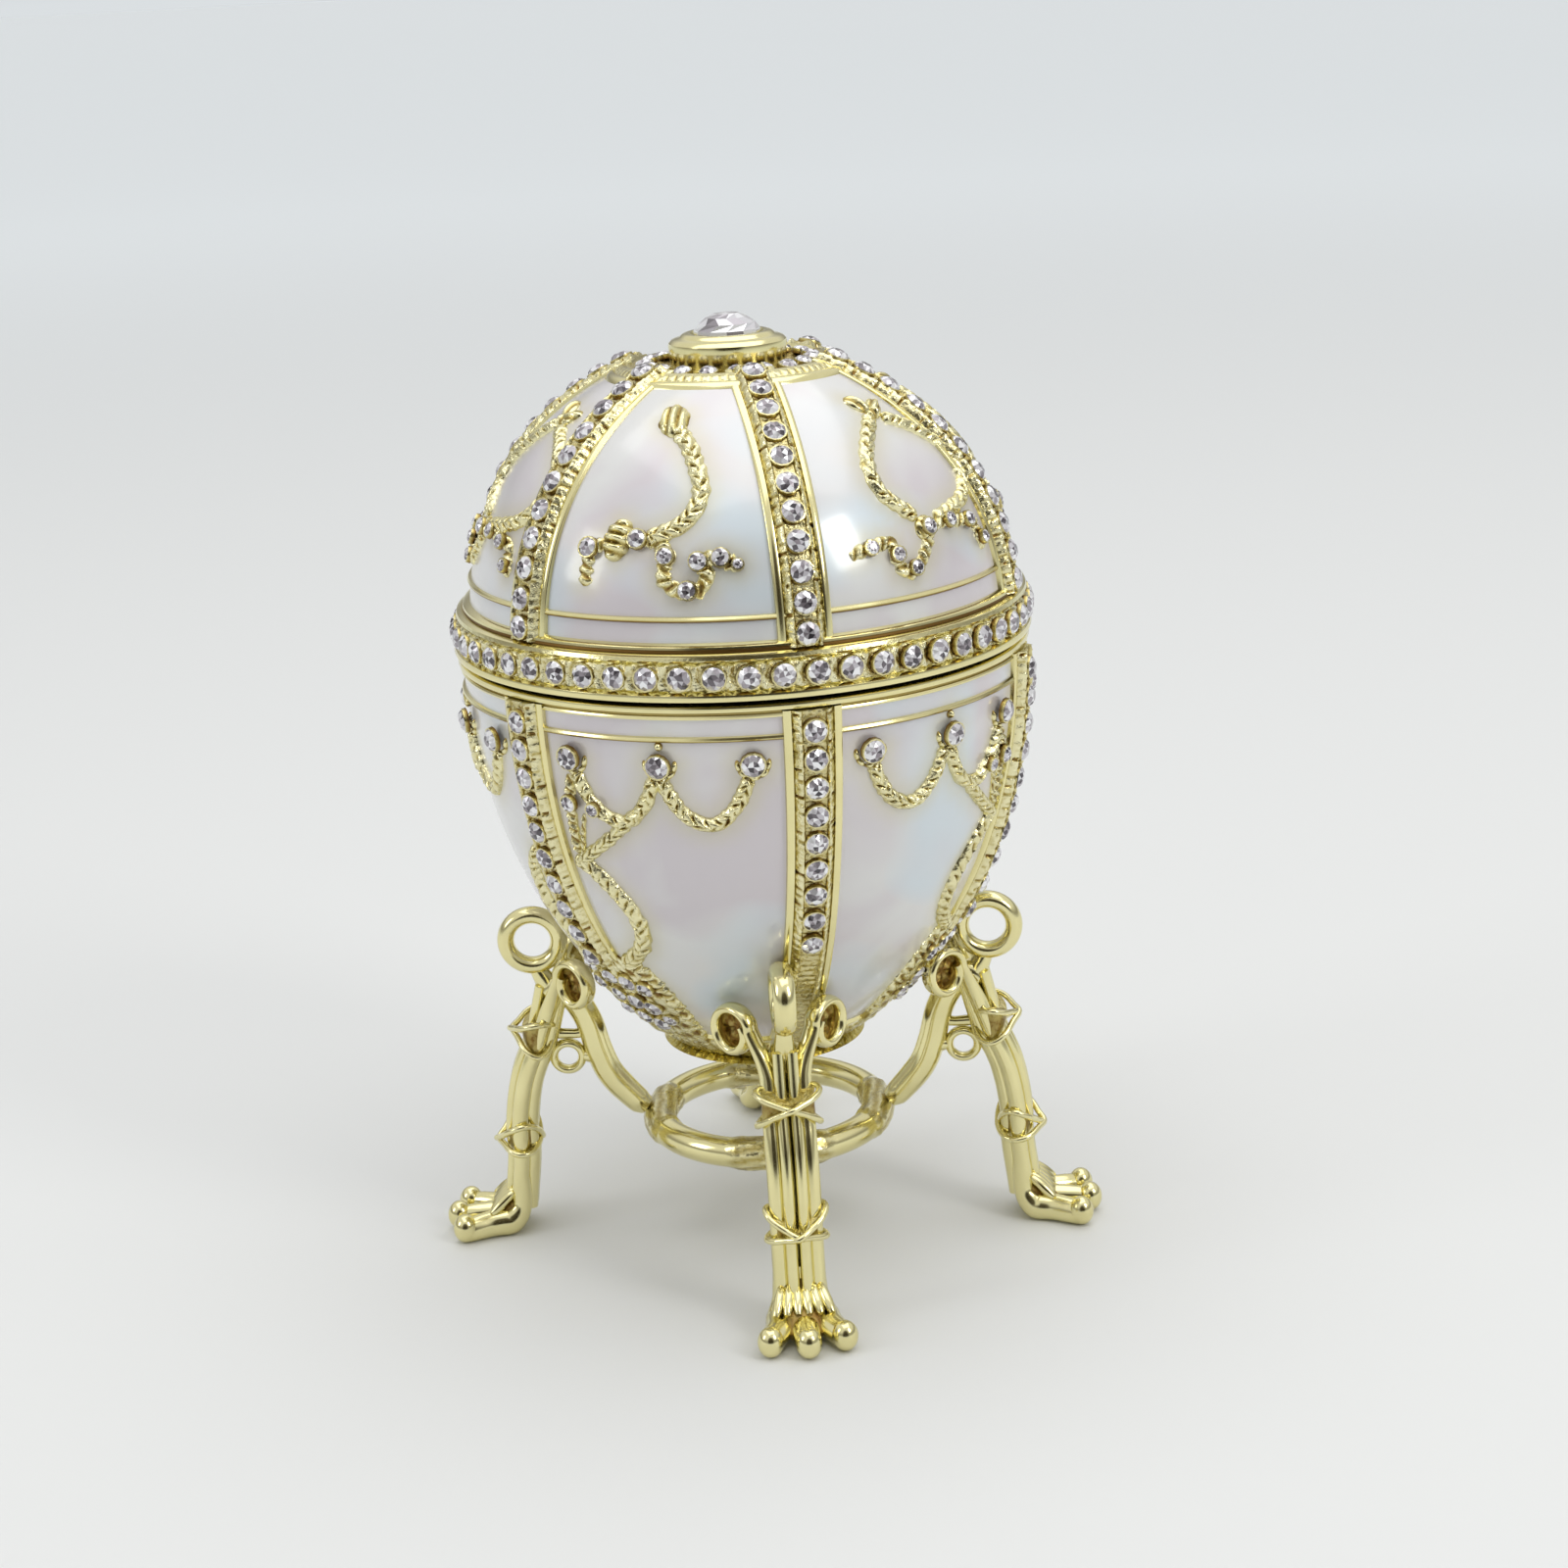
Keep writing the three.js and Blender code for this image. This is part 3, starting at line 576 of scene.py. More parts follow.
def ribBody(half, azimuth, fromDistance, toDistance, widths=(1.0, 1.0), heights=(1.0, 1.0)):
    # lift(s, x) = profile(x) - notch(s) on the slopes, along the meridian of the shell
    count = int(abs(toDistance - fromDistance) / 0.1)
    raw = np.linspace(fromDistance, toDistance, 400)
    seat, _ = onShell(half, 0.0, raw)
    run = lengthAlong(seat)
    s = np.linspace(0, run[-1], count)
    d = np.interp(s, run, raw)
    x, high, grain, tone = ribShape.T
    width = rib["half"] * np.interp(s / s[-1], [0, 1], widths)
    tall = np.interp(s / s[-1], [0, 0.55, 0.85], [heights[0], heights[0], heights[1]])
    lift = rib["height"] * high * tall[:, None]
    tone = np.broadcast_to(tone, lift.shape).copy()
    for way in (-1, 1):
        marks = np.arange(0.3, run[-1], rib["notchPitch"])
        marks = marks + draw.uniform(-0.2, 0.2, len(marks))
        share = np.where(np.arange(len(marks)) % 3, 0.7, 1.6)  # every third notch is a deep one
        depth = rib["notchDepth"] * draw.uniform(0.0, 1.0, len(marks)) * share
        long = draw.uniform(0.09, 0.17, len(marks))
        inner = draw.uniform(0.42, 0.56, len(marks))
        outer = draw.uniform(0.58, 0.72, len(marks))
        bumps = np.exp(-(((s[:, None] - marks) / long) ** 4)) * depth
        reach = (np.sign(x)[:, None] == way) & (np.abs(x)[:, None] > inner) & (np.abs(x)[:, None] < outer)
        notch = bumps @ reach.T
        lift -= notch
        # painted shade in each notch
        tone += np.clip(notch * 4.2, 0, 0.85)
    leafy = np.abs(x) < 0.72
    lumps = 0.07 * np.sin(s[:, None] * 6.1 + 7 * x) * np.cos(s[:, None] * 2.3 - 9 * x)
    lift[:, leafy] += lumps[:, leafy]
    seats, normal = onShell(half, azimuth, d)
    across = sideways(azimuth)
    points = seats[:, None] + (x * width[:, None])[..., None] * across + lift[..., None] * normal[:, None]
    # follow the shell's curve across the width
    sag = (x * width[:, None]) ** 2 / (2 * np.maximum(shellRadius(half, d), 4))[:, None]
    points -= sag[..., None] * outward(azimuth)
    under = points[:, [-1, 0]] - 0.5 * normal[:, None]
    points = np.concatenate([points, under], 1)
    return grid(points, withRoot(tone, lift.shape), withRoot(grain, lift.shape))


def ropeBody(half, pairs, width=1.6, height=0.74, pitch=1.05, taper=0.5):
    # Two rows of laurel leaves: lift(s, x) = height * (dome(x) * leaf(s, x) - pit(s, x)), with
    # leaf = |cos(pi * (s / pitch + 0.6 |x| + 0.25 sign x + wander))|
    step = 0.12
    stations = stationsOn(half, pairs, step)
    s = step * np.arange(len(stations))
    seed = int(abs(stations[0].sum()) * 100)
    x = np.array([-1, -0.94, -0.84, -0.72, -0.58, -0.44, -0.3, -0.16, -0.05])
    x = np.concatenate([x, -x[::-1]])

    def eachRow(scale, first, second):
        # the two rows of leaves wander by themselves
        rows = np.stack([wander(s, scale[0], first), wander(s, scale[1], second)], 1)
        return np.where(x > 0, rows[:, 1:], rows[:, :1])

    drift = 0.16 * eachRow((3.1, 2.7), seed + 1, seed + 2)
    leaf = np.abs(np.cos(np.pi * (s[:, None] / pitch + 0.6 * np.abs(x) + 0.25 * np.sign(x) + drift)))
    uneven = np.clip(0.65 + 0.5 * eachRow((1.7, 1.9), seed + 3, seed + 4), 0.1, 1.2)
    dome = 1 - np.abs(x) ** 3
    pit = (1 - leaf) ** 3 * uneven * np.exp(-(((np.abs(x) - 0.36) / 0.3) ** 2))
    edge = np.exp(-(((np.abs(x) - 0.86) / 0.09) ** 2)) * 0.14
    lift = height * (dome * (0.62 + 0.38 * np.sqrt(leaf)) + edge - 0.5 * pit) - 0.02
    fade = np.sqrt(np.clip(np.minimum(s, s[-1] - s) / taper, 0, 1))
    fat = (1 + 0.1 * wander(s, 1.3, seed + 5)) * (0.45 + 0.55 * fade)
    lift = lift * (0.35 + 0.65 * fade)[:, None]
    # tone: painted shade in the pits between the leaves
    return laid(half, stations, 0.5 * width * x * fat[:, None], lift, np.clip(pit * 1.9, 0, 1), 0.55)


def ribbonBody(half, pairs, width=1.3, height=0.62):
    # Leafy ribbon: lift = height * (1 - x^4) * wave(s, x), with a pit wherever the wave is low
    step = 0.12
    stations = stationsOn(half, pairs, step)
    s = step * np.arange(len(stations))
    seed = int(abs(stations[0].sum()) * 100)
    x = np.array([-1, -0.9, -0.7, -0.45, -0.2, 0, 0.2, 0.45, 0.7, 0.9, 1])
    wave = 0.72 + 0.28 * np.cos(2 * np.pi * s[:, None] / 0.85 + 2.2 * x + 1.4 * wander(s, 2.0, seed)[:, None])
    lift = height * (1 - x**4) * wave
    fade = np.clip(np.minimum(s, s[-1] - s) / 0.6, 0, 1)
    wide = 0.5 * width * x * (0.5 + 0.5 * np.sqrt(fade) + 0.2 * wander(s, 0.9, seed + 1))[:, None]
    # painted shade where the wave is low
    tone = np.clip(0.78 - wave, 0, 1) * 2.4 * (np.abs(x) < 0.8)
    return laid(half, stations, wide, lift * (0.4 + 0.6 * fade)[:, None], tone, 0.7)


def knobBody(half, azimuth, distance, long, wide, height, turn, folds, slant=0.8, rings=9, sides=26):
    # Dome wrapped across its length: lift(r, a) = height * sqrt(1 - r^2) * (0.66 + 0.34 * fold), with
    # fold = cos(folds * pi * r cos a + slant * r sin a) between 0 and 1
    r = np.concatenate([np.linspace(0.02, 0.92, rings), [0.97, 1.0]])[:, None]
    a = fullTurn(sides)
    centre, normal = onShell(half, azimuth, distance)
    side = sideways(azimuth)
    up = np.cross(normal, side)
    t = np.radians(turn)
    one, two = np.cos(t) * side + np.sin(t) * up, -np.sin(t) * side + np.cos(t) * up
    fold = 0.5 + 0.5 * np.cos(folds * np.pi * r * np.cos(a) + slant * r * np.sin(a))
    lift = height * np.sqrt(np.clip(1 - r**2, 0, 1)) * (0.66 + 0.34 * np.sqrt(fold)) - 0.05
    flat = r * (1 + 0.05 * fold)
    points = (centre + (long * flat * np.cos(a))[..., None] * one + (wide * flat * np.sin(a))[..., None] * two
              + lift[..., None] * normal)
    foot = points[-1:] - 0.5 * normal
    # painted shade in the troughs of the folds
    tone = np.concatenate([np.clip(0.5 - fold, 0, 1) * 1.5, np.zeros((1, sides))])
    return grid(np.concatenate([points, foot]), tone, 0.3)


def leafFan(half, azimuth, distance, size, turns, spread, across):
    # Small leaves side by side, each a low knob turned by its own angle plus the one given by across
    scale = np.degrees(1 / shellRadius(half, distance))
    return [
        knobBody(half, azimuth + spread * size * np.cos(np.radians(t)) * scale,
                 distance + egg[half]["way"] * spread * size * np.sin(np.radians(t)),
                 size, 0.45 * size, 0.65 * size, t + across, 1.2, 0.5, 5, 14)
        for t in turns
    ]


def spray(half, middle, way, parts, stoneScale, lift):
    # Ropes, ribbons, knobs and stones of one ornament, placed by degrees from its middle and mm from the seam
    def at(pairs):
        return [(middle + way * a, distance) for a, distance in pairs]

    bodies = [ropeBody(half, at(pairs), width) for width, *pairs in parts["ropes"]]
    bodies += [ribbonBody(half, at(pairs), *size) for size, *pairs in parts["ribbons"]]
    bodies += [knobBody(half, middle + way * a, *rest) for a, *rest in parts["knobs"]]
    stones = [stoneSpots(half, [middle + way * a], d, stoneScale * r, lift) for a, d, r in parts["stones"]]
    return bodies, stones


def paintGoldReflection(body, ornaments):
    # tone = strength * exp(-(distance to the nearest ornament / reach)^2): a painted reflection of the gold in the
    # lacquer
    strength, reach = pearlEnamel["glowStrength"], pearlEnamel["glowReach"]
    gilt = np.concatenate([b["v"][::9] for b in ornaments]).astype(np.float32)
    for part in np.array_split(np.arange(len(body["v"])), 60):
        v = body["v"][part].astype(np.float32)
        square = (v**2).sum(1)[:, None] + (gilt**2).sum(1) - 2 * v @ gilt.T
        body["tone"][part] = strength * np.exp(-np.maximum(square.min(1), 0) / reach**2)


print("ribs")
lidRibs = [ribBody("lid", a, 4.6, 26.75, (1.0, 0.92), (1.0, 0.75)) for a in ribAzimuths]
bowlRibs = [ribBody("bowl", a, 0.9, 38.3, (1.08, 0.86), (1.0, 0.55)) for a in ribAzimuths]

# Lid: shell, girdle, thin line, collar, wreaths and ribbons
lid = {
    "wall": 1.6,
    "innerRadius": 24.9,
    "top": 25.9,
    "line": 7.35,  # thin gold line above the seam
    "girdleStones": 56,
    "girdleStoneRadius": 1.1,
    "girdleStonesAt": (28.0, 2.4),  # radius, height above the seam
    "girdleTurn": 1.2,  # degrees
    "collarStones": 19,
    "collarStoneRadius": 0.88,
    "collarStonesAt": (8.1, 26.85),
    "collarTurn": 5.684,
    "ornamentLift": 0.78,
    "ornamentStones": 0.82,  # their size against the radii given with the wreaths
}


def lidShell():
    seam = egg["seam"] + egg["gap"]
    up = lid["top"] * np.sin(np.linspace(0, np.pi / 2, 60))
    outer = np.stack([shellRadius("lid", up), seam + up], -1)
    innerTop = lid["top"] - lid["wall"]
    down = innerTop * np.sin(np.linspace(np.pi / 2, 0, 30))
    hollow = lid["innerRadius"] / egg["lid"]["radius"]
    inner = np.stack([hollow * shellRadius("lid", down * lid["top"] / innerTop), seam + down], -1)
    # from the pole of the top, over the outside, round the foot and up to the pole of the inside
    return turned(np.concatenate([outer[::-1], inner[::-1]]), egg["columns"], len(outer))


def girdle():
    outline = atSeam([
        (25.6, 0.15), (27.7, 0.15), (28.05, 0.3), (28.15, 0.6), (28.05, 0.9), (27.85, 1.0), (27.6, 1.1),
        (27.55, 1.3), (27.55, 1.85), (27.55, 2.4), (27.55, 2.95), (27.55, 3.5), (27.5, 3.72), (27.65, 3.8),
        (27.75, 4.0), (27.65, 4.35), (27.35, 4.5), (26.95, 4.56), (26.9, 4.75), (27.05, 4.85), (27.0, 5.05),
        (26.7, 5.25), (26.0, 5.35), (25.4, 3.0),
    ])
    point = np.arange(len(outline))
    groove, bead = np.isin(point, [17, 18]), np.isin(point, [13, 14])
    high = outline[:, 1] - egg["seam"]
    channel = (high > 1.2) & (high < 3.6) & (outline[:, 0] > 27)
    middle = (high - 2.4) / 1.2
    n = lid["girdleStones"]
    count = n * 12
    angle = fullTurn(count)[:, None]
    # leafy cross between two stones: ridges along the diagonals of each gap, and fine lumps
    gap = ((angle * n / (2 * np.pi) + 0.5) % 1) - 0.5
    away = 0.5 - np.abs(gap)
    ridge = np.exp(-((away * 3.25 - 0.62 * np.abs(middle)) / 0.42) ** 2) * 0.34
    lumps = 0.08 * np.sin(angle * n * 4.0 + 3 * middle) * np.cos(7 * middle + angle * 9)
    raised = channel * (ridge + lumps)
    # painted shade low between the ridges of the channel and in the groove
    tone = channel * np.clip(0.34 - 1.5 * raised, 0, 0.5) + groove * 0.9
    return hoop(outline, count, tone, channel * 0.9 + bead * 0.25, raised)


def thinLine(half, distance, width=0.56, height=0.42):
    # Round wire let into the enamel all round, with a painted shadow on its underside
    point, normal = onShell(half, 0.0, np.array([distance]))
    radius, z = -point[0, 1], point[0, 2]
    nr, nz = -normal[0, 1], normal[0, 2]
    a = fullTurn(8)
    outline = np.stack([
        radius + 0.5 * width * np.cos(a) * -nz + (0.05 + height * np.sin(a) * 0.8) * nr,
        z + 0.5 * width * np.cos(a) * nr + (0.05 + height * np.sin(a) * 0.8) * nz,
    ], -1)
    return hoop(outline, egg["columns"], np.where(outline[:, 1] < z - 0.06, 1.0, 0.0))


def collar():
    outline = atSeam([
        (11.9, 25.5), (11.75, 25.95), (11.45, 26.2), (11.15, 26.3), (10.95, 26.3), (10.85, 26.3), (10.75, 26.4),
        (10.5, 26.6), (10.2, 26.75), (9.9, 26.85), (9.5, 26.82), (9.0, 26.72), (8.2, 26.56), (7.4, 26.42),
        (6.6, 26.3), (5.0, 26.25), (4.8, 25.5), (9.0, 25.4),
    ])
    wall = np.isin(np.arange(len(outline)), [6, 7])
    top = (outline[:, 0] < 9.8) & (outline[:, 1] > egg["seam"] + 26)
    count, marks = 480, 78
    angle = fullTurn(count)[:, None]
    # short uneven cuts all round the wall
    wobble = 0.35 * np.sin(angle * 7.0) + 0.2 * np.sin(angle * 19.0 + 1)
    cut = np.clip(np.cos(angle * marks + wobble) - 0.35, 0, 1) * (0.75 + 0.25 * np.sin(angle * 11))
    raised = -0.42 * wall * cut
    # painted shade in the cuts; the top is darker too
    tone = np.clip(-raised * 2.6, 0, 0.9) + top * 0.38
    return hoop(outline, count, tone, top * 1.0 + wall * 0.4, raised)


# Each rope is its width and then its points, each ribbon its (width, height) and then its points. A
# point is (degrees from the panel's middle, mm from the seam). A knob is that, then length, width,
# height, turn, folds, slant and steps. A stone is its place and radius.
fullWreath = {
    "ropes": [
        (1.6, (6.0, 22.3), (2.5, 21.6), (-1.5, 20.7), (-5.2, 19.5), (-7.0, 18), (-6.4, 16.4), (-3.5, 15.2),
         (0.5, 13.9)),
        (1.6, (10.5, 22.0), (14, 21.6), (19.5, 20.7), (24.5, 19.3), (27, 17.7), (25, 16.0), (20.5, 14.6),
         (14, 13.9), (6, 13.4)),
    ],
    "ribbons": [
        ((1.3, 0.62), (3, 12.6), (0.5, 11.2), (-3.0, 9.8), (-6.5, 9.6), (-8, 11), (-8.5, 12.3), (-12, 12.3),
         (-16, 12.0), (-18.5, 11.6)),
        ((1.3, 0.62), (4, 12.9), (8, 13.1), (12, 12.8), (16.5, 12.6), (19.5, 12.0), (20.5, 9.6)),
    ],
    "knobs": [
        (8.6, 22.4, 0.8, 0.7, 0.95, 0, 2),
        (5.6, 23.2, 1.5, 0.85, 0.9, 125, 0.8, 6.0),
        (11.4, 22.8, 1.45, 0.8, 0.85, 40, 0.8, 6.0),
        (2.2, 12.9, 1.35, 1.2, 0.8, 20, 4),
    ],
    "stones": [
        (2.2, 12.9, 0.95), (-4.2, 9.8, 0.85), (-8.0, 11.2, 0.85), (-14, 12.1, 0.8), (9.5, 13.0, 0.85),
        (16.5, 12.5, 0.85), (20.2, 10.6, 0.75),
    ],
}
halfWreath = {
    "ropes": [
        (1.75, (0.3, 22.9), (2.6, 22.2), (5.6, 21.3), (8.3, 19.7), (9.7, 18.1), (8.6, 16.6), (5.8, 15.4),
         (1.5, 14.6), (-2.0, 14.3)),
    ],
    "ribbons": [
        ((1.35, 0.62), (-11, 13.8), (-14.5, 13.2), (-15.3, 12.0), (-15.2, 10.0)),
        ((1.45, 0.62), (-6.5, 14.2), (-2.5, 14.1), (1, 13.8), (3, 12.8), (2.2, 11.6), (3, 10.4), (7, 9.7),
         (10, 10.1), (11.3, 11.2), (10.2, 12.2), (13.5, 12.6), (18.3, 11.6)),
    ],
    "knobs": [
        (-1.4, 23.3, 2.05, 1.4, 1.1, 105, 0.8, 9.0, 12, 36),
        (1.4, 23.3, 1.15, 0.6, 0.8, 75, 0.6, 4.0),
        (-4.0, 22.9, 1.0, 0.55, 0.7, 140, 0.6, 4.0),
        (-8.5, 14.0, 1.95, 1.3, 1.7, 74, 4.4, 1.2, 16, 40),
    ],
    "stones": [
        (-15, 13.2, 1.1), (-3.7, 14.05, 1.05), (2.7, 12.7, 0.95), (7.4, 9.85, 1.0), (9.6, 12.25, 1.0),
        (14.2, 12.5, 1.0), (17.6, 11.9, 0.6),
    ],
}


def ringOfStones(count, turn, place, radius, lean):
    # Stones round the axis, whose normals are outward * lean[0] + up * lean[1]
    out = outward(360 * np.arange(count) / count + turn)
    centre = out * place[0] + [0, 0, egg["seam"] + place[1]]
    return np.concatenate([centre, unit(out * lean[0] + [0, 0, lean[1]]), np.full((count, 1), radius)], -1)


print("lid")
lidBody = lidShell()
lidStones, lidOrnament = [], []
for i, middle in enumerate(panelAzimuths):
    middle = middle - (360 if middle > 180 else 0)
    wreath = halfWreath if i == 5 else fullWreath  # the left front panel has half a wreath
    bodies, stones = spray("lid", middle, 1, wreath, lid["ornamentStones"], lid["ornamentLift"])
    lidOrnament += bodies
    lidStones += stones
steps = np.array(rib["lidStones"])
lifts = np.interp(steps, [17, 24], [rib["stoneLift"], rib["topStoneLift"]])
lidStones += [stoneSpots("lid", a, steps, rib["stoneRadius"], lifts) for a in ribAzimuths]
lidStones.append(ringOfStones(lid["collarStones"], lid["collarTurn"], lid["collarStonesAt"],
                              lid["collarStoneRadius"], (0.25, 1)))
girdleSet = ringOfStones(lid["girdleStones"], lid["girdleTurn"], lid["girdleStonesAt"],
                         lid["girdleStoneRadius"], (1, 0))
lidSet = np.concatenate(lidStones)

paintGoldReflection(lidBody, lidOrnament)
makePiece("lid_shell", [lidBody], [enamel, gold], ["egg_lid"], crease=50)
makePiece("lid_ribs", lidRibs, [gold])
makePiece("lid_girdle", [girdle(), seatSet(girdleSet)], [gold])
makePiece("lid_collar", [collar(), thinLine("lid", lid["line"])], [gold])
makePiece("lid_ornament", lidOrnament + [seatSet(lidSet)], [gold], crease=50)
stones, facetReflections = stoneSet(np.concatenate([lidSet, girdleSet]))
makePiece("lid_stones", [stones], [crystal], crease=0, facetReflections=facetReflections)

# Bezel and top crystal
bezel = {"foot": 89.3, "radius": 5.68, "height": 2.0, "crystal": 3.2, "rise": 1.8}


def bezelBody():
    # (share of the radius, share of the height above the foot)
    shares = np.array([
        (0.053, -0.625), (0.97, -0.625), (0.975, -0.45), (0.985, -0.15), (0.995, 0.2), (1.0, 0.42), (0.99, 0.55),
        (0.94, 0.69), (0.87, 0.76), (0.82, 0.79), (0.8, 0.82), (0.775, 0.9), (0.74, 0.96), (0.68, 1.0),
        (0.63, 0.98), (0.6, 0.86), (0.58, 0.7), (0.053, 0.7),
    ])
    return turned(shares * [bezel["radius"], bezel["height"]] + [0, bezel["foot"]], 144)


def topCrystal():
    # Rings of the dome, each turned half a step against the one below
    f = bezel["foot"] + bezel["height"] - 0.45
    r, rise = bezel["crystal"], bezel["rise"] + 0.45
    rows = []
    for share, high, turn in [(0.9, 0.0, 0), (1.0, 0.16, 0), (0.985, 0.3, 0), (0.86, 0.56, 0.5), (0.62, 0.8, 0),
                              (0.36, 0.95, 0.5), (0.05, 1.0, 0)]:
        a = 2 * np.pi * (np.arange(12) + turn) / 12
        rows.append(np.stack([share * r * np.cos(a), share * r * np.sin(a), np.full(12, f + high * rise)], -1))
    return grid(np.array(rows))


print("bezel")
makePiece("bezel", [bezelBody()], [gold], ["top_bezel"], crease=30)
topStone = topCrystal()
count = len(topStone["quads"]) + len(topStone["tris"])
# each facet's grey is a painted reflection
makePiece("top_stone", [topStone], [crystal], ["top_crystal"], crease=0,
          facetReflections=draw.choice([0.15, 0.5, 0.8, 1.0], count, p=[0.06, 0.12, 0.32, 0.5]))

# Bowl: shell with its lip, rim, thin line, foot collar, swags and rope wreaths
bowl = {
    "floor": 41.2,
    "wall": 1.6,
    "lip": (23.6, 24.6, 2.0),  # inner radius, outer radius, height above the seam
    "line": 3.3,
    "swag": 9.25,  # degrees from a swag's end to its lowest point
    "swagStoneRadius": 1.1,
    "ornamentLift": 0.85,
}


def bowlShell():
    z = egg["seam"]
    lipInner, lipOuter, lipHeight = bowl["lip"]
    down = bowl["floor"] * np.sin(np.linspace(0.004, np.pi / 2, 60))
    outer = np.stack([shellRadius("bowl", down), z - down], -1)
    outer = np.concatenate([atSeam([(lipOuter, lipHeight), (lipOuter, -egg["gap"])]), outer])
    innerFloor = bowl["floor"] - bowl["wall"]
    up = innerFloor * np.sin(np.linspace(np.pi / 2, 0, 40))
    inner = np.stack([np.minimum(lipInner, shellRadius("bowl", up) - bowl["wall"]), z - up], -1)
    edge = [(lipInner, lipHeight - 0.1), (lipInner + 0.15, lipHeight), (lipOuter - 0.15, lipHeight)]
    inner = np.concatenate([inner, atSeam(edge)])
    return turned(np.concatenate([outer[::-1], inner[::-1]]), egg["columns"], len(outer) - 3)


def bowlRim():
    outline = atSeam([
        (26.2, -0.15), (27.55, -0.15), (27.8, -0.25), (27.88, -0.5), (27.8, -0.75), (27.55, -0.86), (27.42, -0.92),
        (27.42, -1.05), (27.6, -1.1), (27.68, -1.25), (27.6, -1.42), (27.35, -1.48), (26.5, -1.6),
    ])
    groove = np.isin(np.arange(len(outline)), [6, 7])
    # painted shade in the groove
    return hoop(outline, egg["columns"], groove * 0.6)


def footCollar():
    along = np.array([37.3, 37.6, 37.9, 38.15, 38.3, 38.6, 38.9, 39.2, 39.5, 39.8, 40.1, 40.4, 40.65])
    lifts = np.array([-0.2, 0.3, 0.38, 0.3, 0.15, 0.4, 0.5, 0.55, 0.55, 0.5, 0.45, 0.5, 0.4])
    point, _ = onShell("bowl", 0.0, along, lifts)
    outline = np.stack([-point[:, 1], point[:, 2]], -1)
    outline = np.concatenate([outline, atSeam([(10.2, -41.2), (8.0, -41.2), (8.0, -40.0)])])
    i = np.arange(len(outline))
    grainy = (i > 4) & (i < 12)
    count = 420
    angle = fullTurn(count)[:, None]
    raised = grainy * 0.14 * np.sin(angle * 62 + 1.9 * i) * np.cos(angle * 23 + 2.3 * i)
    # painted shade in the low grain
    tone = np.clip(grainy * (0.25 - 2.5 * raised), 0, 0.7)
    return hoop(outline, count, tone, grainy * 0.9, raised)


bowlOrnament, bowlStones = [], []


def bowlPanel(middle):
    b = bowl["swag"]
    drawnWidth = 18.2  # degrees that the line below spans from stone to stone
    line = [(0.6, 6.9), (1.9, 8.6), (4.6, 10.5), (8.4, 11.45), (11.6, 11.2), (15, 9.5), (17.4, 7.0)]
    for start in (-2 * b, 0):
        pairs = [(middle + start + a * 2 * b / drawnWidth, d) for a, d in line]
        bowlOrnament.append(ropeBody("bowl", pairs, width=1.45))
    bowlOrnament.append(knobBody("bowl", middle + 0.6, 3.95, 0.42, 0.42, 0.55, 0, 1))
    bowlStones.append(stoneSpots("bowl", middle + np.array([-2 * b, 0.5, 2 * b]), np.array([5.5, 5.7, 5.6]),
                                 bowl["swagStoneRadius"], bowl["ornamentLift"]))
    for a in (-2 * b, 0.5, 2 * b):
        bowlOrnament.extend(leafFan("bowl", middle + a, 5.65, 0.62, (190, 225, 270, 315, 350), 2.25, 90))


# Wreath round a rib of the bowl, in the lists of the lid's wreaths, by degrees from the rib
ribSpray = {
    "ropes": [
        (1.75, (7.2, 15.9), (10.6, 16.8), (14.6, 18.7), (17.9, 20.9), (19.0, 23.1), (17.6, 25.1), (13.2, 26.8),
         (8.6, 27.8)),
        (1.35, (22.5, 11.4), (17.8, 13.3), (12.6, 15.0), (8.2, 16.3)),
        (1.7, (-6.4, 16.4), (-10.5, 18.6), (-12.0, 21.8), (-10.5, 24.6), (-6.4, 27.2)),
    ],
    "ribbons": [
        ((1.1, 0.62), (10.5, 7.4), (9.6, 9.6), (9.0, 12.0), (8.4, 15.4)),
        ((0.5, 0.4), (12.2, 11.2), (10.8, 13.6), (9.4, 15.8)),
        ((2.2, 0.62), (9.0, 27.4), (13.5, 29.2), (16.5, 32.0), (17.5, 35.0), (16.5, 37.6)),
        ((2.0, 0.62), (-8.0, 27.2), (-11.5, 29.6), (-13.5, 32.5), (-14.0, 35.0), (-13.0, 37.6)),
    ],
    "knobs": [],
    "stones": [
        (9.9, 10.0, 0.8), (15.6, 10.3, 0.65), (-5.5, 28.6, 0.9), (0.5, 29.6, 1.0), (6.5, 29.9, 1.0),
        (12.0, 30.4, 0.9), (-8.5, 31.0, 0.9), (-2.5, 32.0, 0.95), (4.0, 32.5, 1.05), (10.0, 32.9, 1.0),
        (-6.5, 34.2, 0.9), (0.5, 34.8, 1.0), (7.5, 35.3, 1.0), (13.5, 34.4, 0.8),
    ],
}


def leafyPlate(ribAt, way):
    # Under the stones at the foot of the rib: lift = 0.5 * (1 - x^6) + 0.2 * lumps * (1 - x^4)
    d = np.linspace(26.8, 38.4, 90)
    x = np.linspace(-1, 1, 29)
    half = np.interp(d, [26.8, 29.5, 33, 38.4], [1.6, 4.0, 4.9, 4.2])[:, None]
    lumps = np.sin(2.9 * d[:, None] + 8 * x) * np.cos(1.7 * d[:, None] - 13 * x)
    lift = 0.5 * (1 - x**6) + 0.2 * lumps * (1 - x**4)
    stations = np.stack([np.full(len(d), ribAt + way * 1.2), d], 1)
    # painted shade in the low lumps
    return laid("bowl", stations, half * x, lift, np.clip(0.1 - 1.1 * lumps, 0, 0.9), 0.9, root=-0.8)


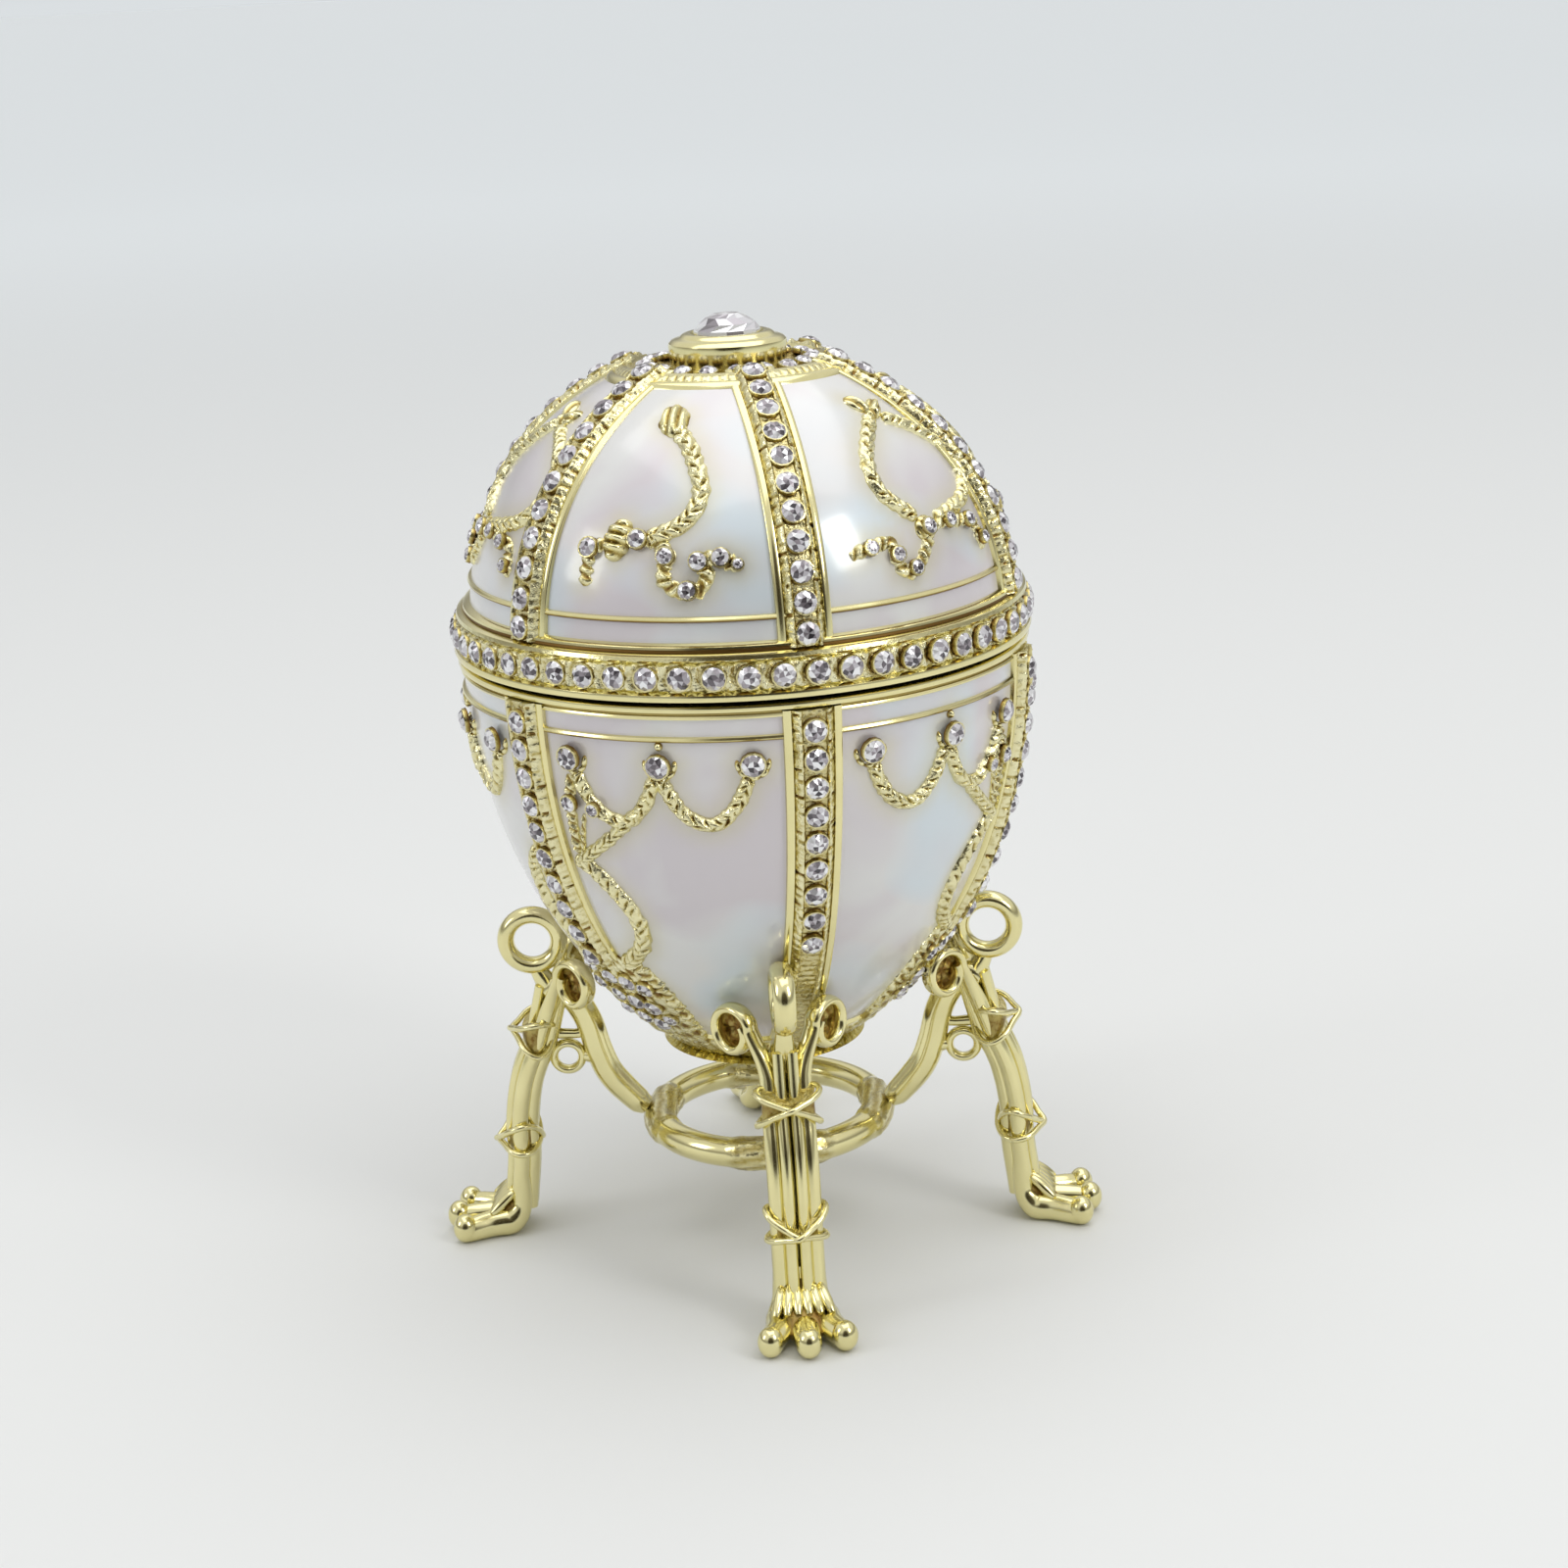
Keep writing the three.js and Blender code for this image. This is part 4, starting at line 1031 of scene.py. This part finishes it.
print("bowl")
bowlBody = bowlShell()
for middle in panelAzimuths:
    bowlPanel(middle)
for ribAt, way in [(ribAzimuths[5], 1), (ribAzimuths[1], -1), (ribAzimuths[3], 1)]:
    bodies, stones = spray("bowl", ribAt, way, ribSpray, 1.0, bowl["ornamentLift"])
    bowlOrnament += bodies + [leafyPlate(ribAt, way)]
    bowlStones += stones
for i, a in enumerate(ribAzimuths):
    count = rib["bowlStones"] + (1 if i in (1, 3, 5) else 0)  # one more where a wreath hides the rib's foot
    steps = rib["firstBowlStone"] + rib["bowlPitch"] * np.arange(count)
    bowlStones.append(stoneSpots("bowl", a, steps, rib["stoneRadius"], rib["stoneLift"]))
bowlSet = np.concatenate(bowlStones)
paintGoldReflection(bowlBody, bowlOrnament)
makePiece("bowl_shell", [bowlBody], [enamel, gold], ["egg_bowl"], crease=50)
makePiece("bowl_ribs", bowlRibs, [gold])
makePiece("bowl_rims", [bowlRim(), thinLine("bowl", bowl["line"]), footCollar()], [gold])
makePiece("bowl_ornament", bowlOrnament + [seatSet(bowlSet)], [gold], crease=50)
stones, facetReflections = stoneSet(bowlSet)
makePiece("bowl_stones", [stones], [crystal], crease=0, facetReflections=facetReflections)

# Stand: ring with a leaf-wrapped joint at every arm
stand = {
    "azimuths": {"front": 5, "right": 84, "back": 180, "left": -90},
    "ringRadius": 11.2,
    "ringHeight": 11.5,
    "ringThickness": 3.0,
}


def standRing():
    # Radius of the section grows at each joint, with fluted leaves over it
    count, sides = 360, 28
    azimuth = np.arange(count)
    a = fullTurn(sides)
    near = np.min([np.abs((azimuth - j + 180) % 360 - 180) for j in stand["azimuths"].values()], 0)
    sleeve = np.clip((26 - near) / 5, 0, 1)
    flute = 0.5 + 0.5 * np.cos(9 * a + 0.25 * near[:, None])
    r = 0.5 * stand["ringThickness"] * (1 + sleeve[:, None] * (0.07 + 0.09 * flute))
    ring = outward(azimuth)[:, None] * (stand["ringRadius"] + r * np.cos(a))[..., None]
    ring[..., 2] += stand["ringHeight"] + r * np.sin(a)
    # painted shade in the troughs of the flutes
    tone = sleeve[:, None] * (1 - flute) * 0.55
    return grid(ring, tone, sleeve[:, None] * 0.4 + 0 * tone, closedU=True)


leg = {
    "halfWidth": 1.66,  # from the middle to the outer rods
    # centre line of the bundle from the heel to the neck: distance from the axis, height
    "line": [(26.25, 2.6), (26.05, 4.3), (25.6, 8.0), (25.45, 12.4), (24.6, 16.8), (23.05, 20.6), (22.3, 23.0),
             (21.5, 26.2)],
    # inner rods: across as a share of the half width, towards the outside, radius
    "rods": [(-0.39, 0.95, 0.58), (0.39, 0.95, 0.58), (-0.414, -0.95, 0.9), (0.414, -0.95, 0.9)],
    "rodRadius": 0.86,  # of the outer rods
    "scrollAt": 18.75,
    "scrollAcross": 4.35,
    "scrollHeight": 27.8,
    "scrollRadius": 2.06,
    "scrollTurn": 46,
    "scrollThickness": 1.05,
    "scrollWidth": 1.8,
    "loopAt": 22.97,
    "loopHeight": 31.2,
    "loopRadius": 2.68,
    "loopThickness": 1.72,
    "loopWidth": 2.15,
    "loopRise": {"front": 0.85},  # the front loop stands higher
    "arm": [(21.9, 25.6), (20.9, 26.3), (19.4, 25.2), (17.9, 22.4), (17.0, 19.0), (15.9, 16.3)],
    "armRadius": [1.2, 1.4, 1.42, 1.3, 0.95],
    "armSlope": 40,  # degrees, where the arm meets the ring
    "eyeAt": (20.2, 18.5),
    "eyeRadius": 1.45,
    # two bindings: distance from the axis, height, rise and drop at the sides, half width
    "bindings": [(23.3, 21.9, 1.1, 2.3, 3.0), (25.55, 9.9, 2.1, 0.9, 2.85)],
    "wireRadius": 0.32,
    "toeReach": 32.55,
    "toeSpread": 3.5,
    "toeRadius": 1.24,
    "toeHeight": 1.52,
}


def ballBody(centre, radii, rings=12, sides=20):
    # centre + radii * (cos b cos a, cos b sin a, sin b)
    b = np.linspace(-np.pi / 2 + 0.12, np.pi / 2 - 0.12, rings)[:, None]
    a = fullTurn(sides)
    sphere = np.stack([np.cos(b) * np.cos(a), np.cos(b) * np.sin(a), np.sin(b) + 0 * a], -1)
    return grid(centre + sphere * radii)


class LegAxes:
    # Directions of one leg, and the place of a point given by distance from the axis, across and height
    def __init__(self, azimuth):
        self.out, self.side, self.up = outward(azimuth), sideways(azimuth), np.array([0, 0, 1.0])

    def place(self, radius, across, height):
        radius, across, height = np.broadcast_arrays(np.asarray(radius, float), across, height)
        return radius[..., None] * self.out + across[..., None] * self.side + height[..., None] * self.up


def legRods(axes, line):
    # Bundle: two thin rods in front and two thick ones behind, which share one centre line
    tangent = unit(np.gradient(line, axis=0))
    outside = np.stack([tangent[:, 1], -tangent[:, 0]], -1)
    bodies = []
    for across, deep, radius in leg["rods"]:
        path = line + outside * deep
        bodies.append(tube(axes.place(path[:, 0], across * leg["halfWidth"], path[:, 1]), radius, 12))
    return bodies


def legScroll(axes, line, way):
    # An outer rod parts from the bundle, flattens and rolls up into a scroll that looks outwards and sideways
    lean = np.radians(leg["scrollTurn"])
    axis = np.cos(lean) * axes.out + way * np.sin(lean) * axes.side
    inward = np.sin(lean) * axes.out - way * np.cos(lean) * axes.side
    centre = axes.place(leg["scrollAt"], way * leg["scrollAcross"], leg["scrollHeight"])
    t = np.radians(np.arange(0, 400, 12))
    spiral = leg["scrollRadius"] * np.interp(t, [0, 4.7, 7.0], [1.05, 1.0, 0.62])
    curl = centre + (spiral * np.cos(t))[:, None] * inward + (spiral * np.sin(t))[:, None] * axes.up
    keep = line[:, 1] < 21.8
    rod = axes.place(line[keep, 0], way * leg["halfWidth"], line[keep, 1])
    neck = axes.place([22.0, 21.2], [way * 1.62, way * 1.95], [23.5, 25.4])
    path = throughPoints(np.concatenate([rod[::4], neck, curl[::2]]), 0.25)
    length = lengthAlong(path)
    rolled = np.clip((length - length[-1] + 18) / 5, 0, 1)
    thick = leg["scrollThickness"]
    radius = leg["rodRadius"] + (0.5 * thick - leg["rodRadius"]) * rolled
    flat = 1 + (leg["scrollWidth"] / thick - 1) * rolled
    # painted shade: a dark sheet across the back of the scroll's hollow, as rings of (radius, place along the
    # scroll's axis, tone)
    turn = fullTurn(48)
    ring = np.cos(turn)[:, None] * inward + np.sin(turn)[:, None] * axes.up
    dent = 0.12 * np.sin(5 * turn)[:, None]
    hollow = [(1.5, -0.85, 0.4), (1.75, -0.4, 0.6), (1.2, -0.45, 0.85), (0.7, -0.3, 0.6), (0.3, -0.45, 0.85)]
    rows = np.stack([centre + r * ring + (h + dent * r) * axis for r, h, _ in hollow])
    tone = np.array([[tone] for _, _, tone in hollow])
    return [tube(path, radius, 16, flat=flat, guide=axis, fixed=True), grid(rows, tone, 1.0)]


def legLoop(axes, lift):
    turn = fullTurn(48)
    foot = axes.place([20.9, 21.6, 22.3, 22.9], 0, np.array([24.6, 26.2, 27.4, 28.4 + lift]))
    loop = axes.place(leg["loopAt"] + leg["loopRadius"] * np.cos(turn), 0,
                      leg["loopHeight"] + lift + leg["loopRadius"] * np.sin(turn))
    flat = leg["loopWidth"] / leg["loopThickness"]
    return [tube(foot, [1.2, 1.15, 0.95, 0.7], 14),
            tube(loop, 0.5 * leg["loopThickness"], 24, closed=True, guide=axes.side, flat=flat)]


def legArm(axes):
    # The arm runs down to the ring and meets it at its own slope
    slope = np.radians(leg["armSlope"])
    ends = [(stand["ringRadius"] + away * np.cos(slope), stand["ringHeight"] + away * np.sin(slope))
            for away in 0.5 * stand["ringThickness"] + np.array([1.6, 0.2])]
    path = throughPoints(leg["arm"] + ends, 0.4)
    radius = np.interp(np.linspace(0, 1, len(path)), [0, 0.2, 0.8, 0.95, 1], leg["armRadius"])
    return tube(axes.place(path[:, 0], 0, path[:, 1]), radius, 20)


def legEye(axes):
    # Small ring between leg and arm, on its stub, with a bar above it
    turn = fullTurn(48)
    at, height = leg["eyeAt"]
    eye = axes.place(at + leg["eyeRadius"] * np.cos(turn), 0, height + leg["eyeRadius"] * np.sin(turn))
    stub = axes.place(np.linspace(18.9, 16.8, 6), 0, np.full(6, height))
    bar = axes.place([17.6, 19.4, 22.4], 0, [21.1, 20.9, 21.1])
    return [tube(eye, 0.45, 12, closed=True, guide=axes.side, flat=1.5),
            tube(stub, [0.6, 0.65, 0.8, 1.0, 1.1, 1.1], 12), tube(bar, [0.62, 0.5, 0.6], 10)]


def legBinding(axes, centre, height, rise, drop, wide):
    # Two wires that cross in front and part at the sides, over a dark sheet of painted shade in the hollow
    a = fullTurn(72)
    bulge = 0.5 * np.exp(-((np.minimum(a, 2 * np.pi - a) / 0.3) ** 2))
    swing = np.sin(a) * (0.55 + 0.45 * np.sin(a / 2) ** 2)
    bodies = []
    for way in (-1, 1):
        leaning = way * swing
        z = height + np.where(leaning > 0, rise, drop) * leaning * 1.25
        wire = axes.place(centre + (2.0 + bulge + 0.12 * way) * np.cos(a), wide * np.sin(a), z)
        bodies.append(tube(wire, leg["wireRadius"], 10, closed=True, guide=axes.up, grain=0.15))
    high, low = height + rise * 1.15 * np.abs(swing), height - drop * 1.15 * np.abs(swing)
    hollow = [(0.8, low - 0.15, 0.35), (0.9, low - 0.1, 0.4), (0.88, 0.5 * (low + high), 0.7),
              (0.9, high + 0.1, 0.4), (0.8, high + 0.15, 0.35)]
    rows = np.stack([axes.place(centre + share * 1.55 * np.cos(a), share * (wide - 0.15) * np.sin(a), z)
                     for share, z, _ in hollow])
    return bodies + [grid(rows, np.array([[tone] for _, _, tone in hollow]), 0.7)]


def legToe(axes, way):
    # Thick toe bent at the heel with a ball at its tip; the side toes come out of the outer rods
    half, spread, far = leg["halfWidth"], leg["toeSpread"], leg["toeReach"] - abs(way) * 0.9
    line = throughPoints([
        (25.75, way * half, 6.4), (25.75, way * half, 4.6), (26.05, way * half * 1.05, 2.7),
        (27.2, way * half * 1.25, 1.45), (29.0, way * spread * 0.68, 1.2), (31.0, way * spread * 0.93, 1.15),
        (far, way * spread, 1.15),
    ])
    radius = np.interp(np.linspace(0, 1, len(line)), [0, 0.3, 0.55, 0.85, 1], [0.84, 0.98, 1.18, 1.08, 0.98])
    tall = np.interp(line[:, 2], [1.5, 3.0], [1.22, 1.0])
    path = axes.place(line[:, 0], line[:, 1], np.maximum(line[:, 2], tall * radius + 0.02))
    radii = [leg["toeRadius"], leg["toeRadius"], leg["toeHeight"] * 0.993]
    ball = ballBody(axes.place(far + 0.1, way * spread, leg["toeHeight"]), radii)
    return [tube(path, radius, 18, flat=tall), ball]


def legInstep(axes):
    # Between the toes, a filler darkened as painted shade, and the knuckles over it
    line = throughPoints([(25.6, 5.2), (26.6, 3.2), (28.4, 1.9), (30.2, 1.0)])
    size = np.interp(np.linspace(0, 1, len(line)), [0, 0.5, 1], [0.9, 1.1, 0.7])
    bodies = [tube(axes.place(line[:, 0], 0, line[:, 1]), size, 20, flat=2.3, guide=axes.side, fixed=True,
                   tone=0.75, grain=0.6)]
    for across in np.linspace(-1, 1, 6):
        knuckle = throughPoints([(26.75, across * 1.85, 4.5), (27.5, across * 2.1, 3.9),
                                 (28.4, across * 2.45, 3.1), (29.0, across * 2.7, 2.6)], 0.2)
        radius = 0.2 + 0.34 * np.sqrt(np.sin(np.pi * np.linspace(0.04, 0.96, len(knuckle))))
        bodies.append(tube(axes.place(*knuckle.T), radius, 10))
    return bodies


def legBodies(name, azimuth):
    axes = LegAxes(azimuth)
    line = throughPoints(leg["line"], 0.5)
    bodies = legRods(axes, line) + legLoop(axes, leg["loopRise"].get(name, 0)) + [legArm(axes)] + legEye(axes)
    for way in (-1, 1):
        bodies += legScroll(axes, line, way)
    for binding in leg["bindings"]:
        bodies += legBinding(axes, *binding)
    for way in (-1, 0, 1):
        bodies += legToe(axes, way)
    return bodies + legInstep(axes)


print("stand")
makePiece("ring_of_stand", [standRing()], [gold], ["stand_ring"])
for name, azimuth in stand["azimuths"].items():
    makePiece("stand_leg_" + name, legBodies(name, azimuth), [gold], ["leg_" + name], crease=45)

# Floor, light and camera
floorLook = {
    "near": (0.755, 0.765, 0.76),
    "far": (0.76, 0.80, 0.82),
    "change": (0.05, 1.5),  # metres from the middle, from near to far
    "farLight": 0.24,
    "radius": 40,
}


def makeFloor():
    mesh = bpy.data.meshes.new("floor")
    a = fullTurn(96)
    rim = floorLook["radius"] * np.stack([np.cos(a), np.sin(a), 0 * a], -1)
    mesh.from_pydata(rim.tolist(), [], [list(range(len(a)))])
    floor = bpy.data.objects.new("floor", mesh)
    bpy.context.scene.collection.objects.link(floor)
    material, tree, shader = nodeTree("paleFloor")
    away = add(tree, "ShaderNodeVectorMath", {0: objectPlace(tree)}, operation="LENGTH").outputs["Value"]
    share = span(tree, away, floorLook["change"], way="SMOOTHSTEP")
    tint = ramp(tree, share, [(0.0, floorLook["near"]), (1.0, floorLook["far"])])
    # the far floor glows: painted light on the backdrop
    light = calculate(tree, "MULTIPLY", {0: share}, {1: floorLook["farLight"]})
    for key, source in {"Base Color": tint, "Emission Color": tint, "Emission Strength": light}.items():
        tree.links.new(source, shader.inputs[key])
    setValues(shader, {"Roughness": 0.55, "Specular IOR Level": 0.2})
    mesh.materials.append(material)


def areaLight(name, place, target, size, power, colour=(1, 1, 1)):
    light = bpy.data.lights.new(name, "AREA")
    light.shape = "RECTANGLE"
    light.size, light.size_y = size
    light.energy = power
    light.color = colour
    lamp = bpy.data.objects.new(name, light)
    lamp.location = place
    lamp.rotation_euler = (Vector(target) - Vector(place)).to_track_quat("-Z", "Y").to_euler()
    bpy.context.scene.collection.objects.link(lamp)


studio = {
    "strength": 0.76,
    # colour by height over the horizon: bright above, a dim band low down
    "sky": [(0.0, (0.93, 0.975, 1.0)), (0.05, (0.66, 0.67, 0.67)), (0.16, (0.33, 0.32, 0.30)),
            (0.45, (1.0, 1.0, 1.0))],
    # the dark side of the room behind the camera, which shows as a small dark spot on every rounding
    "darkSide": (0.05, -0.962, 0.268),
    "darkness": [(0.86, (1, 1, 1)), (0.93, (0.1, 0.085, 0.06))],
}


def makeWorld():
    world = bpy.data.worlds.new("studio")
    bpy.context.scene.world = world
    world.use_nodes = True
    tree = world.node_tree
    where = add(tree, "ShaderNodeTexCoord").outputs["Generated"]
    height = add(tree, "ShaderNodeSeparateXYZ", {0: where}).outputs["Z"]
    sky = ramp(tree, height, studio["sky"])
    facing = add(tree, "ShaderNodeVectorMath", {0: where}, {1: studio["darkSide"]}, operation="DOT_PRODUCT")
    dark = ramp(tree, facing.outputs["Value"], studio["darkness"])
    both = add(tree, "ShaderNodeMix", {6: sky, 7: dark}, {"Factor": 1.0},
               data_type="RGBA", blend_type="MULTIPLY")
    background = tree.nodes["Background"]
    tree.links.new(both.outputs[2], background.inputs["Color"])
    background.inputs["Strength"].default_value = studio["strength"]


camera = {
    "frame": 1600,  # pixels
    "focal": 2870.0,  # pixels of that frame
    "sensor": 36,
    "place": (2.665, -268.855, 124.093),
    "pitch": 0.282,  # radians
    "roll": -0.051,
    "yaw": 0.0021,
}


def makeCamera():
    p, r, y = camera["pitch"], camera["roll"], camera["yaw"]
    forward = np.array([np.sin(y) * np.cos(p), np.cos(y) * np.cos(p), -np.sin(p)])
    right = np.array([np.cos(y), -np.sin(y), 0])
    up = np.cross(right, forward)
    data = bpy.data.cameras.new("camera")
    data.sensor_width = camera["sensor"]
    data.lens = camera["focal"] * camera["sensor"] / camera["frame"]
    data.clip_start = 0.01
    data.clip_end = 50
    lens = bpy.data.objects.new("camera", data)
    pose = np.eye(4)
    pose[:3, 0] = np.cos(r) * right + np.sin(r) * up
    pose[:3, 1] = -np.sin(r) * right + np.cos(r) * up
    pose[:3, 2] = -forward
    pose[:3, 3] = np.array(camera["place"]) * mm
    lens.matrix_world = Matrix(pose.tolist())
    bpy.context.scene.collection.objects.link(lens)
    bpy.context.scene.camera = lens


print("stage")
makeFloor()
makeWorld()
areaLight("overhead", (0.05, 0.02, 0.75), (0, 0, 0.04), (0.8, 0.8), 2.3)
areaLight("windowRight", (0.55, -0.45, 0.5), (0, 0, 0.06), (0.2, 0.32), 1.3, (1.0, 0.99, 0.97))
areaLight("windowLeft", (-0.7, -0.25, 0.4), (0, 0, 0.05), (0.22, 0.3), 0.7, (0.95, 0.98, 1.0))
makeCamera()
view = bpy.context.scene.view_settings
view.view_transform = "Standard"
view.look = "None"
